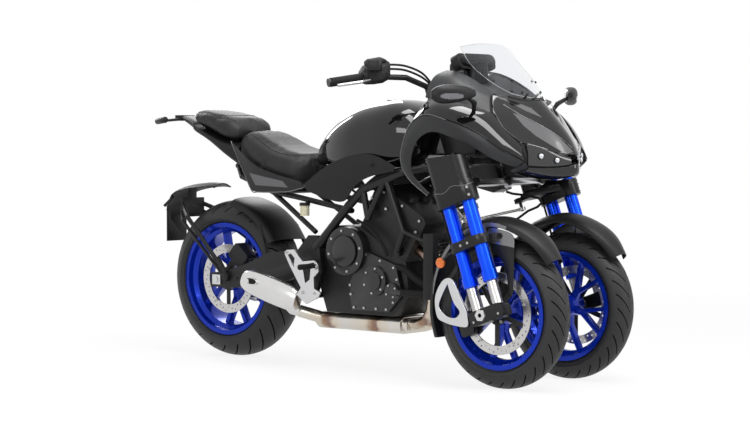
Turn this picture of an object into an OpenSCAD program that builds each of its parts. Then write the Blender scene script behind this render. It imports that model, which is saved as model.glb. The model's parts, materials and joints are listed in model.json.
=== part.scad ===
// Leaning reverse trike: two steered front wheels, one driven rear wheel.
// +X is forward, +Y is the rider's left, +Z is up; the floor is z = 0.

/* [Layout] */
// distance between the front and rear axles
wheelbase = 1510; // [1400:1:1620]
// distance between the two front tyre centres
front_track = 410; // [380:1:440]
// lean of the steering axes back from vertical, degrees
caster = 20; // [15:0.5:25]
// distance from each front contact patch to its steering axis on the floor
trail = 74; // [50:1:100]
// front axle position ahead of the middle of the whole length
front_axle_x = 800.5; // [760:0.5:840]

/* [Front wheels] */
// outer diameter of a front tyre
front_tyre_d = 549; // [520:1:570]
// width of a front tyre
front_tyre_w = 120; // [100:1:130]
// bead seat diameter of a front rim
front_rim_d = 381; // [350:1:400]
// outer diameter of a front brake disc
front_disc_d = 298; // [240:1:310]
// front axle diameter
front_axle_d = 25; // [20:1:30]

/* [Rear wheel] */
// outer diameter of the rear tyre
rear_tyre_d = 641; // [600:1:660]
// width of the rear tyre
rear_tyre_w = 190; // [160:1:200]
// bead seat diameter of the rear rim
rear_rim_d = 432; // [400:1:450]
// outer diameter of the rear brake disc
rear_disc_d = 282; // [220:1:300]
// rear axle diameter
rear_axle_d = 25; // [20:1:32]
// tip diameter of the rear chain wheel
sprocket_d = 182; // [150:1:210]

/* [Forks] */
// sideways distance from a wheel centre to its pair of tubes
fork_offset = 115; // [112:1:125]
// distance between the two parallel tubes of one fork
tube_pitch = 92; // [84:1:100]
// diameter of the upper fork tubes
tube_d = 50; // [44:1:54]
// diameter of the rear sliding tube
slider_rear_d = 43; // [38:1:43]
// diameter of the front sliding tube
slider_front_d = 41; // [38:1:43]
// diameter of the steering stem
stem_d = 32; // [24:1:36]
// length of the steering arms that the tie rods pull
steer_arm = 60; // [45:1:75]

/* [Handlebar] */
// distance from the middle to a bar end
bar_half = 430; // [390:1:450]
// height of the bar ends
bar_end_z = 1106; // [1080:1:1140]
// handlebar tube diameter
bar_d = 22; // [20:1:26]
// grip diameter
grip_d = 34; // [30:1:38]

/* [Body] */
// thickness of the moulded panels
panel_t = 4; // [3:0.5:5]
// height of the top of the screen
screen_top = 1250; // [1180:1:1300]
// half width of the fuel tank
tank_half = 190; // [170:1:200]
// half width of the rider's seat
seat_half = 165; // [140:1:175]

/* [Frame] */
// diameter of the main frame tubes
frame_d = 34; // [26:1:38]
// sideways distance of the main frame tubes from the middle
frame_half = 160; // [158:1:168]
// diameter of the rear frame tubes
subframe_d = 22; // [18:1:26]

/* [Output] */
// sub-part to draw

/* [Hidden] */
$fn = 48;

half_track = front_track / 2;
front_r = front_tyre_d / 2;
rear_r = rear_tyre_d / 2;
rear_axle_x = front_axle_x - wheelbase;
// steering axis: x where it meets the floor, and its x at front axle height
steer_foot_x = front_axle_x + trail;
steer_x = steer_foot_x - front_r * tan(caster);
// axle place seen from the steering axis, along and across it
axle_u = (front_axle_x - steer_x) * cos(caster);
axle_w = -(front_axle_x - steer_x) * sin(caster);
// handlebar axis behind the fork axes, across the caster direction
bar_axis_u = -132;
fork_y = half_track + fork_offset;
run = 0.05;
near = 0.3;

// moves a child drawn in (u, y, w), w along the steering axis, to its real place
module steer_frame() { translate([steer_x, 0, front_r]) rotate([0, -caster, 0]) children(); }
function steer_pt(u, y, w) = [steer_x + u * cos(caster) - w * sin(caster), y,
    front_r + u * sin(caster) + w * cos(caster)];

module side(s) { if (s > 0) children(); else mirror([0, 1, 0]) children(); }
module both() { children(); mirror([0, 1, 0]) children(); }

// round bar between two points
module rod(p, q, d) {
    v = q - p;
    l = norm(v);
    translate(p) rotate([0, acos(v[2] / l), atan2(v[1], v[0])]) cylinder(h = l, d = d);
}
// bent round bar through a list of points; each elbow's ball has its axis along the bar that comes in
// and its first meridian on the inner side of the bend
module bent(pts, d) {
    for (i = [0 : len(pts) - 2]) rod(pts[i], pts[i + 1], d);
    for (i = [1 : len(pts) - 2]) {
        p = pts[i];
        a = unit(p - pts[i - 1]);
        b = unit(pts[i + 1] - p);
        n = unit(b - (a * b) * a);
        k = cross(a, n);
        multmatrix([[n[0], k[0], a[0], p[0]], [n[1], k[1], a[1], p[1]], [n[2], k[2], a[2], p[2]]])
            sphere(d = d * 1.03);
    }
}
// round bar along y from y0 to y1
module ybar(x, z, y0, y1, d) { translate([x, y1, z]) rotate([90, 0, 0]) cylinder(h = y1 - y0, d = d); }
// plate with a side outline in (x, z), from y0 to y1
module yplate(y0, y1) { translate([0, y1, 0]) rotate([90, 0, 0]) linear_extrude(y1 - y0) children(); }
// rounded rectangle between two corners
module round_rect(x0, y0, x1, y1, r) {
    translate([x0 + r, y0]) square([x1 - x0 - 2 * r, y1 - y0]);
    translate([x0, y0 + r]) square([x1 - x0, y1 - y0 - 2 * r]);
    for (x = [x0 + r, x1 - r], y = [y0 + r, y1 - r]) translate([x, y]) circle(r = r);
}

// smooth curve through points, and a grid of points through rows of points
function lim(i, n) = max(0, min(n, i));
function cr(a, b, c, d, t) = 0.5 * (2 * b + (c - a) * t + (2 * a - 5 * b + 4 * c - d) * t * t
    + (3 * b - a - 3 * c + d) * t * t * t);
function curve(p, t) = let (n = len(p) - 1, i = min(floor(t), n - 1))
    cr(p[lim(i - 1, n)], p[i], p[i + 1], p[lim(i + 2, n)], t - i);
function net(rows, nu, nv) = [for (i = [0 : nu]) let (t = i * (len(rows) - 1) / nu,
    row = [for (j = [0 : len(rows[0]) - 1]) curve([for (r = rows) r[j]], t)])
    [for (j = [0 : nv]) curve(row, j * (len(row) - 1) / nv)]];
function unit(v) = v / norm(v);
function net_normal(g, i, j) = let (nu = len(g) - 1, nv = len(g[0]) - 1)
    unit(cross(g[lim(i + 1, nu)][j] - g[lim(i - 1, nu)][j], g[i][lim(j + 1, nv)] - g[i][lim(j - 1, nv)]));

// thin panel through rows of points; the wall lies on the side away from (rows x columns)
module skin(rows, nu, nv, wall) {
    g = net(rows, nu, nv);
    m = nv + 1;
    n = (nu + 1) * m;
    pts = concat([for (i = [0 : nu], j = [0 : nv]) g[i][j]],
        [for (i = [0 : nu], j = [0 : nv]) g[i][j] - wall * net_normal(g, i, j)]);
    top = [for (i = [0 : nu - 1], j = [0 : nv - 1]) each let (a = i * m + j)
        [[a, a + 1, a + m + 1], [a, a + m + 1, a + m]]];
    low = [for (f = top) [f[2] + n, f[1] + n, f[0] + n]];
    rim_u = [for (j = [0 : nv - 1]) each let (a = j, b = nu * m + j)
        [[a, a + n, a + 1 + n], [a, a + 1 + n, a + 1], [b, b + 1, b + 1 + n], [b, b + 1 + n, b + n]]];
    rim_v = [for (i = [0 : nu - 1]) each let (a = i * m, b = i * m + nv) [[a, a + m, a + m + n],
        [a, a + m + n, a + n], [b, b + n, b + m + n], [b, b + m + n, b + m]]];
    faces = concat(top, low, rim_u, rim_v);
    polyhedron(pts, wall > 0 ? faces : [for (f = faces) [f[2], f[1], f[0]]], convexity = 6);
}

// closed body through upright rings; columns: x, half width, low z, z of the widest place, top z
function pw(c, e) = sign(c) * pow(abs(c), e);
function ring(r, k, e_top, e_low) = [for (j = [0 : k - 1]) let (a = 360 * j / k, c = cos(a), s = sin(a))
    [r[0], r[1] * pw(c, s > 0 ? e_top : e_low),
        s > 0 ? r[3] + (r[4] - r[3]) * pw(s, e_top) : r[3] + (r[3] - r[2]) * pw(s, e_low)]];
module rings(list) {
    k = len(list[0]);
    n = len(list) - 1;
    pts = [for (r = list) each r];
    walls = [for (i = [0 : n - 1], j = [0 : k - 1]) each let (a = i * k + j, b = i * k + (j + 1) % k)
        [[a, a + k, b + k], [a, b + k, b]]];
    caps = [[for (j = [0 : k - 1]) j], [for (j = [0 : k - 1]) n * k + k - 1 - j]];
    polyhedron(pts, concat(walls, caps), convexity = 4);
}
function stations(t, n) = [for (i = [0 : n]) curve(t, i * (len(t) - 1) / n)];
module body(table, n, k, e_top, e_low) { rings([for (r = stations(table, n)) ring(r, k, e_top, e_low)]); }

// wheels
module front_wheel_at() { translate([front_axle_x, half_track, front_r]) children(); }
module spin_y() { rotate([-90, 0, 0]) children(); }

module rim_section(r, half, well) {
    t = 6;
    polygon([[r + 14, half], [r + 14, half - 5], [r, half - 8], [r - 2, half - 26], [r - well, half - 40],
        [r - well, 40 - half], [r - 2, 26 - half], [r, 8 - half], [r + 14, 5 - half], [r + 14, -half],
        [r - 4, -half], [r - 8, 22 - half], [r - well - t, 36 - half], [r - well - t, half - 36],
        [r - 8, half - 22], [r - 4, half]]);
}
// one forked spoke, from the hub out to the rim's well
module spoke(r0, r1, spread, w, thick) {
    rotate([0, 0, 0]) translate([0, 0, -thick / 2]) linear_extrude(thick) {
        polygon([[r0, -w], [r0 + (r1 - r0) * 0.35, -w * 0.75], [r0 + (r1 - r0) * 0.35, w * 0.75], [r0, w]]);
        for (s = [-1, 1]) polygon([[r0 + (r1 - r0) * 0.22, -s * w * 0.4], [r0 + (r1 - r0) * 0.22, s * w * 0.8],
            [r1 * cos(spread), s * (r1 * sin(spread) + w * 0.55)],
            [r1 * cos(spread), s * (r1 * sin(spread) - w * 0.55)]]);
    }
}
module rim(rim_d, half, well, hub_d, hub_lo, hub_hi, axle_d, spread, w, thick) {
    r = rim_d / 2;
    spin_y() {
        rotate_extrude($fn = 96) rim_section(r, half, well);
        difference() {
            union() {
                translate([0, 0, hub_lo]) cylinder(h = hub_hi - hub_lo, d = hub_d);
                for (i = [0 : 4]) rotate(i * 72 + 18) spoke(hub_d / 2 - 6, r - well - 3, spread, w, thick);
            }
            translate([0, 0, hub_lo - 1]) cylinder(h = hub_hi - hub_lo + 2, d = axle_d + 2 * run);
        }
    }
}
// tyre section: a round crown, side walls and a hollow inside, resting on the rim's seats
module tyre_section(tyre_r, w, seat_r, seat_half, crown_r, wall) {
    wide_r = tyre_r - crown_r * 0.78;
    difference() {
        intersection() {
            translate([tyre_r - crown_r, 0]) circle(r = crown_r, $fn = 96);
            polygon([[tyre_r + 10, w / 2], [tyre_r + 10, -w / 2], [wide_r, -w / 2],
                [seat_r + 15, -seat_half - 2.7], [seat_r, -seat_half], [seat_r, seat_half],
                [seat_r + 15, seat_half + 2.7], [wide_r, w / 2]]);
        }
        intersection() {
            translate([tyre_r - crown_r, 0]) circle(r = crown_r - wall, $fn = 96);
            polygon([[tyre_r, w / 2 - wall], [tyre_r, wall - w / 2], [wide_r, wall - w / 2],
                [seat_r - 2, 15 - seat_half], [seat_r - 2, seat_half - 15], [wide_r, w / 2 - wall]]);
        }
    }
}
module disc(d, ring_w, t, hub_d, bore_d, holes) {
    difference() {
        union() {
            difference() {
                cylinder(h = t, d = d, $fn = 96);
                translate([0, 0, -1]) cylinder(h = t + 2, d = d - 2 * ring_w, $fn = 96);
            }
            for (i = [0 : 4]) rotate(i * 72 + 18) translate([hub_d / 2 - 8, -9, 0])
                cube([d / 2 - ring_w - hub_d / 2 + 12, 18, t]);
            cylinder(h = t, d = hub_d);
        }
        translate([0, 0, -1]) cylinder(h = t + 2, d = bore_d);
        for (i = [0 : holes - 1]) rotate(i * 360 / holes)
            translate([d / 2 - ring_w * (0.3 + 0.2 * (i % 3)), 0, -1]) cylinder(h = t + 2, d = 6, $fn = 16);
    }
}

front_flange = 50;
front_hub_in = -43;
front_hub_out = 40;
module rim_front(s) {
    color("royalblue") side(s) front_wheel_at()
        rim(front_rim_d, front_flange, 16, 84, front_hub_in, front_hub_out, front_axle_d, 17, 15, 26);
}
module tyre_front(s) {
    color([0.06, 0.06, 0.06]) side(s) front_wheel_at() spin_y() rotate_extrude($fn = 96)
        tyre_section(front_r, front_tyre_w, front_rim_d / 2 + near, front_flange - 8 - near,
            front_tyre_w / 2, 10);
}
module disc_front(s) {
    color("silver") side(s) front_wheel_at() spin_y() translate([0, 0, front_hub_out + near])
        disc(front_disc_d, 32, 5, 84, 52, 45);
}
module rim_front_left() rim_front(1);
module rim_front_right() rim_front(-1);
module tyre_front_left() tyre_front(1);
module tyre_front_right() tyre_front(-1);
module disc_front_left() disc_front(1);
module disc_front_right() disc_front(-1);

rear_flange = 80;
rear_hub = 58;
module rear_wheel_at() { translate([rear_axle_x, 0, rear_r]) children(); }
module rim_rear() {
    color("royalblue") rear_wheel_at()
        rim(rear_rim_d, rear_flange, 18, 100, -rear_hub, rear_hub, rear_axle_d, 16, 17, 34);
}
module tyre_rear() {
    color([0.06, 0.06, 0.06]) rear_wheel_at() spin_y() rotate_extrude($fn = 96)
        tyre_section(rear_r, rear_tyre_w, rear_rim_d / 2 + near, rear_flange - 8 - near,
            rear_tyre_w / 2 + 3, 12);
}
module disc_rear() {
    color("silver") rear_wheel_at() spin_y() translate([0, 0, -rear_hub - near - 5])
        disc(rear_disc_d, 34, 5, 96, 60, 45);
}
module sprocket_rear() {
    color("dimgray") rear_wheel_at() spin_y() difference() {
        union() {
            translate([0, 0, sprocket_y]) cylinder(h = 7, d = sprocket_d, $fn = 96);
            translate([0, 0, rear_hub + near]) cylinder(h = sprocket_y - rear_hub, d = 96);
        }
        translate([0, 0, rear_hub]) cylinder(h = 60, d = 60);
        for (i = [0 : 4]) rotate(i * 72) translate([68, 0, sprocket_y - 1]) cylinder(h = 9, d = 26);
    }
}

// forks: everything is drawn on the left, in (u, y, w) of the steering axis
leg_top = 14;
tube_low = 100;
tube_high = 430;
yoke_low = 425;
yoke_high = 600;
yoke_top = 583;
clamp_w = 250;
shroud_top = 606;
// outline round both tubes of a fork
module round_both(d) {
    for (u = [0, tube_pitch]) translate([u, fork_y]) circle(d = d);
    translate([0, fork_y - d / 2]) square([tube_pitch, d]);
}
module tube_holes(d, w0, w1) {
    for (u = [0, tube_pitch]) translate([u, fork_y, w0]) cylinder(h = w1 - w0, d = d);
}
module fork_tubes(s) {
    color("blue") side(s) steer_frame() difference() {
        union() {
            tube_holes(tube_d, tube_low, tube_high);
            tube_holes(tube_d + 7, tube_low, tube_low + 36);
        }
        translate([0, fork_y, tube_low - 1]) cylinder(h = 61, d = slider_rear_d + 2 * near);
        translate([tube_pitch, fork_y, tube_low - 1]) cylinder(h = 61, d = slider_front_d + 2 * near);
    }
}
// sliding tubes, axle bracket, axle and caliper
module fork_legs(s) {
    disc_y = half_track + front_hub_out + near;
    color("silver") side(s) {
        steer_frame() {
            translate([0, fork_y, leg_top - 2]) cylinder(h = tube_low + 40, d = slider_rear_d);
            translate([tube_pitch, fork_y, leg_top - 2]) cylinder(h = tube_low + 40, d = slider_front_d);
            difference() {
                translate([0, fork_y + 28, 0]) rotate([90, 0, 0]) linear_extrude(58)
                    round_rect(-30, -38, tube_pitch + 28, leg_top, 14);
                translate([axle_u, fork_y + 40, axle_w]) rotate([90, 0, 0])
                    cylinder(h = 80, d = front_axle_d - 6);
            }
            // brake caliper astride the disc, on the bracket's rear side
            difference() {
                translate([0, disc_y + 32, 0]) rotate([90, 0, 0]) linear_extrude(54)
                    round_rect(axle_u - 160, -52, axle_u - 100, 36, 12);
                translate([axle_u - 154, disc_y - 6, -80]) cube([60, 17, 200]);
            }
            translate([axle_u - 112, disc_y + 14, -30]) cube([92, 18, 36]);
            translate([axle_u - 54, disc_y + 14, -30]) cube([34, fork_y - 28 - disc_y - 14, 36]);
            // hose from the caliper up behind the rear tube to the shroud
            bent([[axle_u - 128, disc_y + 22, 36 + near], [axle_u - 128, disc_y + 22, 64],
                [axle_u - 122, fork_y - 44, 110], [-44, fork_y - 12, 190], [-40, fork_y - 2, 300],
                [-36, fork_y - 2, 360], [-36, fork_y - 2, yoke_low - 28 - near]], 8);
        }
        front_wheel_at() difference() {
            union() {
                spin_y() translate([0, 0, front_hub_in - 10]) cylinder(h = 198, d = front_axle_d);
                spin_y() translate([0, 0, front_hub_out + 6]) cylinder(h = 44, d = 40);
                spin_y() translate([0, 0, front_hub_in - 10]) cylinder(h = 9.5, d = 42);
                spin_y() translate([0, 0, fork_offset + 27]) cylinder(h = 7, d = 44, $fn = 6);
            }
            spin_y() translate([0, 0, fork_offset + 10]) cylinder(h = 40, d = 17, $fn = 6);
        }
    }
}
// two yokes, the steering stem between them, the lower clamp and the shroud over the tubes
module fork_yoke(s) {
    stud_low = s > 0 ? 392 : 409;
    color([0.1, 0.1, 0.1]) side(s) steer_frame() {
        difference() {
            union() {
                translate([0, 0, yoke_low - 28]) linear_extrude(75) round_both(82);
                translate([0, 0, yoke_low + 40]) linear_extrude(yoke_high - yoke_low - 30) round_both(72);
                translate([0, 0, yoke_low]) linear_extrude(25)
                    polygon([[-34, half_track - 24], [34, half_track - 24], [tube_pitch, fork_y - 30],
                        [0, fork_y - 30], [-34, half_track + 30]]);
                translate([0, 0, yoke_top]) linear_extrude(14)
                    polygon([[-30, half_track - 24], [30, half_track - 24], [50, fork_y - 30], [0, fork_y - 30],
                        [-30, half_track + 30]]);
                translate([0, half_track, yoke_low + 10]) cylinder(h = yoke_top - yoke_low, d = stem_d);
                translate([-steer_arm - 16, half_track - 13, yoke_low]) cube([steer_arm, 26, 18]);
                translate([-steer_arm, half_track, stud_low]) cylinder(h = yoke_low - stud_low + 5, d = 12);
                translate([-steer_arm, half_track, yoke_low]) cylinder(h = 18, d = 34);
            }
            tube_holes(tube_d + 2 * near, yoke_low - 40, tube_high + near);
            translate([-60, fork_y - 60, shroud_top]) rotate([0, 13, 0]) cube([300, 120, 120]);
        }
        // lower clamp with two bosses for the mudguard's stay
        difference() {
            union() {
                translate([0, 0, clamp_w - 18]) linear_extrude(36)
                    round_both(70);
                for (u = [18, 74]) translate([u, fork_y - 31, clamp_w]) rotate([90, 0, 0])
                    cylinder(h = 13, d = 16);
            }
            tube_holes(tube_d + 2 * near, clamp_w - 30, clamp_w + 30);
        }
    }
}
// mudguard: columns are the angle round the axle, inner radius and half width
guard_rows = [[40, 306, 40], [60, 326, 62], [90, 340, 70], [120, 334, 70], [150, 316, 68],
    [180, 306, 64], [200, 304, 60]];
guard_edge = [[-1, -26], [-0.86, -4], [0, 12], [0.86, -4], [1, -26]];
module fender(s) {
    color([0.08, 0.08, 0.08]) side(s) {
        front_wheel_at() skin([for (r = guard_rows) [for (c = guard_edge)
            let (q = r[1] + c[1]) [q * cos(r[0]), c[0] * r[2], q * sin(r[0])]]], 18, 10, -panel_t);
        stay_y = fork_y - 44 - near;
        steer_frame() translate([0, stay_y, 0]) rotate([90, 0, 0]) linear_extrude(4)
            polygon([[-10, 285], [98, 305], [88, 95], [56, 80], [44, 225]]);
    }
}
module fork_tubes_left() fork_tubes(1);
module fork_tubes_right() fork_tubes(-1);
module fork_legs_left() fork_legs(1);
module fork_legs_right() fork_legs(-1);
module fork_yoke_left() fork_yoke(1);
module fork_yoke_right() fork_yoke(-1);
module fender_left() fender(1);
module fender_right() fender(-1);

// tie rod from a fork's steering arm to the handlebar's arm; both arms point straight back
module tie_rod(s) {
    w = s > 0 ? 394 : 411;
    color("silver") side(s) steer_frame() {
        a = [-steer_arm, half_track, w + 6];
        b = [bar_axis_u - steer_arm, 0, w + 6];
        d = unit(b - a);
        difference() {
            union() {
                for (p = [a, b]) translate(p - [0, 0, 6]) cylinder(h = 12, d = 28);
                rod(a + 8 * d, b - 8 * d, 11);
            }
            for (p = [a, b]) translate(p - [0, 0, 8]) cylinder(h = 16, d = 12 + 2 * run);
        }
    }
}
module tie_rod_left() tie_rod(1);
module tie_rod_right() tie_rod(-1);

// lean linkage: two cross arms on pins along u, and the uprights that carry the steering stems
arm_u = 42;
arm_t = 20;
arm_ws = [476, 556];
module lean_uprights() {
    color([0.2, 0.2, 0.2]) both() steer_frame() {
        difference() {
            union() {
                translate([0, half_track, yoke_low + 27]) cylinder(h = yoke_top - yoke_low - 29, d = 60);
                for (w = arm_ws) translate([20, half_track, w]) rotate([0, 90, 0])
                    cylinder(h = arm_u - near - 20, d = 40);
            }
            translate([0, half_track, yoke_low]) cylinder(h = 200, d = stem_d + 2 * run);
        }
        for (w = arm_ws) {
            translate([28, half_track, w]) rotate([0, 90, 0]) cylinder(h = arm_u + arm_t - 28 + 2, d = 18);
            translate([arm_u + arm_t + near, half_track, w]) rotate([0, 90, 0]) cylinder(h = 9, d = 30);
        }
    }
}
module lean_arms() {
    color("gray") steer_frame() for (w = arm_ws) translate([arm_u, 0, w]) rotate([90, 0, 90])
        linear_extrude(arm_t) difference() {
            union() {
                for (y = [-half_track, 0, half_track]) translate([y, 0]) circle(d = y == 0 ? 48 : 42);
                translate([-half_track, -13]) square([front_track, 26]);
            }
            for (y = [-half_track, 0, half_track]) translate([y, 0]) circle(d = 18 + 2 * near);
        }
}

// handlebar: bar, clamp, shaft and the arm at its lower end
shaft_d = 28;
shaft_top = 905;
bar_mid = steer_pt(bar_axis_u, 0, shaft_top + 14);
bar_side = [[bar_mid[0], 0, bar_mid[2]], [bar_mid[0] - 2, 70, bar_mid[2] + 2],
    [bar_mid[0] - 38, 150, bar_end_z + 22], [bar_mid[0] - 106, bar_half - 149, bar_end_z + 25],
    [bar_mid[0] - 178, bar_half, bar_end_z]];
module handlebar() {
    color([0.12, 0.12, 0.12]) {
        steer_frame() {
            translate([bar_axis_u, 0, 430]) cylinder(h = shaft_top - 430, d = shaft_d);
            translate([bar_axis_u - 24, -55, shaft_top - 22]) cube([48, 110, 40]);
            translate([bar_axis_u - steer_arm - 8, -13, 430]) cube([steer_arm + 10, 26, 18]);
            translate([bar_axis_u, 0, 430]) cylinder(h = 18, d = 44);
            translate([bar_axis_u - steer_arm, 0, 430]) cylinder(h = 18, d = 34);
            translate([bar_axis_u - steer_arm, 0, 390]) cylinder(h = 42, d = 12);
        }
        both() {
            bent(bar_side, bar_d);
            e = bar_side[4];
            d = unit(e - bar_side[3]);
            rod(e - 4 * d, e + 2 * d, grip_d - 2);
        }
    }
}
module grips() {
    e = bar_side[4];
    d = unit(e - bar_side[3]);
    color([0.05, 0.05, 0.05]) both() difference() {
        rod(e - 135 * d, e - 4 * d - [0, 0, 0] - near * d, grip_d);
        rod(e - 140 * d, e + 5 * d, bar_d + 2 * near);
    }
}
// switch boxes, master cylinders and levers
module bar_controls() {
    e = bar_side[4];
    d = unit(e - bar_side[3]);
    f = unit([1, d[0] * -1 / d[1], -0.25]);
    color([0.1, 0.1, 0.1]) both() {
        difference() {
            union() {
                rod(e - 162 * d, e - 137 * d, 44);
                translate(e - 150 * d + [44, -6, 42]) rotate([0, 0, -28]) cube([44, 76, 36], center = true);
                rod(e - 148 * d, e - 148 * d + [30, -2, 36], 22);
            }
            rod(e - 166 * d, e + 5 * d, bar_d + 2 * near);
        }
        bent([e - 148 * d + 14 * f, e - 148 * d + 48 * f, e - 110 * d + 62 * f, e - 12 * d + 58 * f], 11);
    }
}

// main frame: steering head, lean pivot block, tubes and swingarm plates
swing_x = -215;
swing_z = 401;
spar = [[452, 50, 800], [290, frame_half, 772], [100, frame_half, 706], [25, frame_half, 640],
    [-150, frame_half - 8, 470]];
module steering_head() {
    head = [[-165, 545], [-165, 745], [-100, 745], [-62, 650], [arm_u - near, 612], [arm_u - near, 452],
        [0, 452], [-60, 490], [-100, 520]];
    color([0.12, 0.12, 0.12]) steer_frame() {
        difference() {
            translate([0, 34, 0]) rotate([90, 0, 0]) linear_extrude(68) polygon(head);
            translate([bar_axis_u, 0, 400]) cylinder(h = 400, d = shaft_d + 2 * run);
        }
        for (w = arm_ws) {
            translate([20, 0, w]) rotate([0, 90, 0]) cylinder(h = arm_u + arm_t - 20 + 2, d = 18);
            translate([arm_u + arm_t + near, 0, w]) rotate([0, 90, 0]) cylinder(h = 9, d = 32);
        }
    }
}
module main_frame() {
    color([0.12, 0.12, 0.12]) {
        both() {
            bent(spar, frame_d);
            yplate(34 + near, 78) translate([452, 800]) circle(d = 60);
            rod([96, frame_half - 2, 703], [122, frame_half - 2, 588], frame_d - 8);
            rod([205, frame_half + 1, 742], [126, frame_half + 1, 602], frame_d - 10);
            bent([[212, frame_half - 1, 744], [296, frame_half - 1, 545], [262, frame_half - 1, 470]],
                frame_d - 9);
            ybar(262, 470, 136.3, frame_half - 1, 30);
            bent([[294, frame_half, 550], [396, frame_half + 14, 520],
                [radiator_x - 0.4, frame_half + 14, 520]], 16);
            yplate(frame_half - 16, frame_half + 4)
                polygon([[-255, 350], [-255, 440], [-180, 520], [-130, 520], [-110, 380], [-150, 270],
                    [-200, 270]]);
        }
        ybar(110, 709.5, -frame_half, frame_half, 20);
        translate([110, 0, 709.5]) cylinder(h = 70.1, d = 12);
        ybar(-172, 496, -frame_half, frame_half, 24);
        ybar(-166, 284, -frame_half, frame_half, 24);
        ybar(swing_x, swing_z, -frame_half - 10, frame_half + 10, 20);
        // side stand bracket and its pin
        yplate(frame_half - 18, frame_half - 8)
            polygon([[-160, 262], [-160, 300], [-44, 268], [-22, 250], [-30, 232], [-110, 244]]);
        translate(stand_pivot) rotate([stand_tilt, 0, 0]) {
            ybar(0, 0, -22, 12, 14);
            ybar(0, 0, 9.6, 14, 26);
        }
    }
}
rail = [[4, 141.5, 619.6], [4, 118, 619.6], [-271, 132, 668], [-400, 125, 684], [-600, 95, 742],
    [-649, 61, 783]];
module rear_subframe() {
    color([0.14, 0.14, 0.14]) {
        both() {
            bent(rail, subframe_d);
            rod([-158, 143, 532], [-398, 125, 682], subframe_d - 2);
        }
        ybar(-400, 684, -125, 125, 18);
        translate([-400, 0, 684]) cylinder(h = 30.2, d = 6);
        ybar(-650.7, 784.8, -70, 70, 20);
    }
}

// engine
case_half = 133;
module engine_case() {
    color([0.16, 0.16, 0.17]) difference() {
        yplate(-case_half, case_half) difference() {
            polygon([[-150, 330], [-150, 430], [-70, 560], [60, 560], [285, 430], [300, 300], [225, 222],
                [-110, 222]]);
            for (p = [[-172, 496], [-166, 284]]) translate(p) circle(d = 32);
        }
        // room for the drive chain and its front sprocket
        yplate(chain_y - 4, case_half + 1) polygon([[-160, 318], [-160, 470], [0, 470], [0, 340], [-60, 340]]);
    }
    color([0.3, 0.3, 0.3]) ybar(front_sprocket[0], front_sprocket[1], chain_y - 6, chain_y + 12, 69.2);
    // oil filter between two headers
    color([0.1, 0.1, 0.1]) rod([280, 46, 300], [344, 46, 296], 64);
}
module engine_head() {
    color([0.14, 0.14, 0.15]) {
        yplate(4 - frame_half + 20, frame_half - 24)
            polygon([[62, 559.4], [284, 431.1], [284 + 55, 431.1 + 95], [62 + 55, 559.4 + 95]]);
        yplate(4 - frame_half + 14, frame_half - 18)
            polygon([[112, 656], [352, 517.4], [388, 580], [372, 606], [180, 716], [142, 708]]);
        // coil on each cylinder
        for (y = header_ys) rod([273, y * 0.9, 655], [286.4, y * 0.9, 678.4], 34);
    }
}
module engine_covers() {
    y0 = case_half + near;
    color([0.18, 0.18, 0.19]) {
        mirror([0, 1, 0]) {
            difference() {
                ybar(19, 466, y0, y0 + 46, 186);
                ybar(19, 466, y0 + 38, y0 + 60, 130);
            }
            ybar(19, 466, y0, y0 + 52, 118);
            ybar(160, 357, y0, y0 + 40, 116);
            ybar(160, 357, y0, y0 + 48, 74);
            yplate(y0, y0 + 24) polygon([[100, 470], [255, 420], [285, 310], [215, 240], [40, 240], [20, 330]]);
            // water pump and its hose to the radiator
            ybar(248, 322, y0, y0 + 44, 62);
            bent([[248, 166, 322], [300, 168, 318], [372, 174, 318], [radiator_x - 0.4, 174, 318]], 27);
        }
        ybar(150, 400, y0, y0 + 44, 170);
        ybar(150, 400, y0, y0 + 52, 90);
        yplate(y0, y0 + 30) polygon([[-100, 330], [-100, 440], [-40, 470], [60, 440], [60, 330], [-40, 300]]);
    }
}
radiator_x = 416;
hose_points = [steer_pt(20, 22, 448.2), steer_pt(36, 34, 434), [712, 62, 688], [752, 75, 678], [764, 76, 662],
    [744, 77, 646], [700, 79, 630], [650, 82, 600], [560, 92, 566], [462, 104, 566], [440, 108, 542]];
module radiator() {
    color([0.2, 0.2, 0.2]) {
        for (s = [-1, 1]) translate([radiator_x, s > 0 ? 160 : -192, 300]) cube([46, 32, 246]);
        for (z = [300, 526]) translate([radiator_x, -162, z]) cube([46, 324, 20]);
        for (i = [0 : 15]) translate([radiator_x + 4, -162, 326 + i * 13]) cube([34, 324, 4]);
        for (i = [0 : 6]) translate([radiator_x + 8, -150 + i * 48, 310]) cube([22, 8, 226]);
        // brake hose that hangs in an arc from the steering head to the radiator's top
        bent(hose_points, 9);
    }
}
header_ys = [-92, 0, 92];
// collector box under the engine in nested tiers
// columns: rear x, front x, half width, low z, top z, corner radius
collector_rows = [[-196, 226, 95, 151, 215, 27], [-214, 250, 84, 157, 211, 25], [-226, 268, 70, 165, 205, 18]];
outlet_a = [-176, -62, 186];
outlet_b = [-258, -132, 218];
module exhaust() {
    color([0.62, 0.58, 0.52]) {
        for (y = header_ys) bent([[311.8, y, 478.3], [346, y, 458.5], [372, y, 428], [382, y, 390],
            [382, y, 310], [370, y * 0.94, 252], [336, y * 0.8, 210], [286, y * 0.66, 192], [200, y * 0.5, 186]], 38);
        for (r = collector_rows) translate([r[0], 0, 0]) rotate([90, 0, 90]) linear_extrude(r[1] - r[0])
            round_rect(-r[2], r[3], r[2], r[4], r[5]);
        rod(outlet_a, outlet_b, 48);
    }
}
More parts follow.
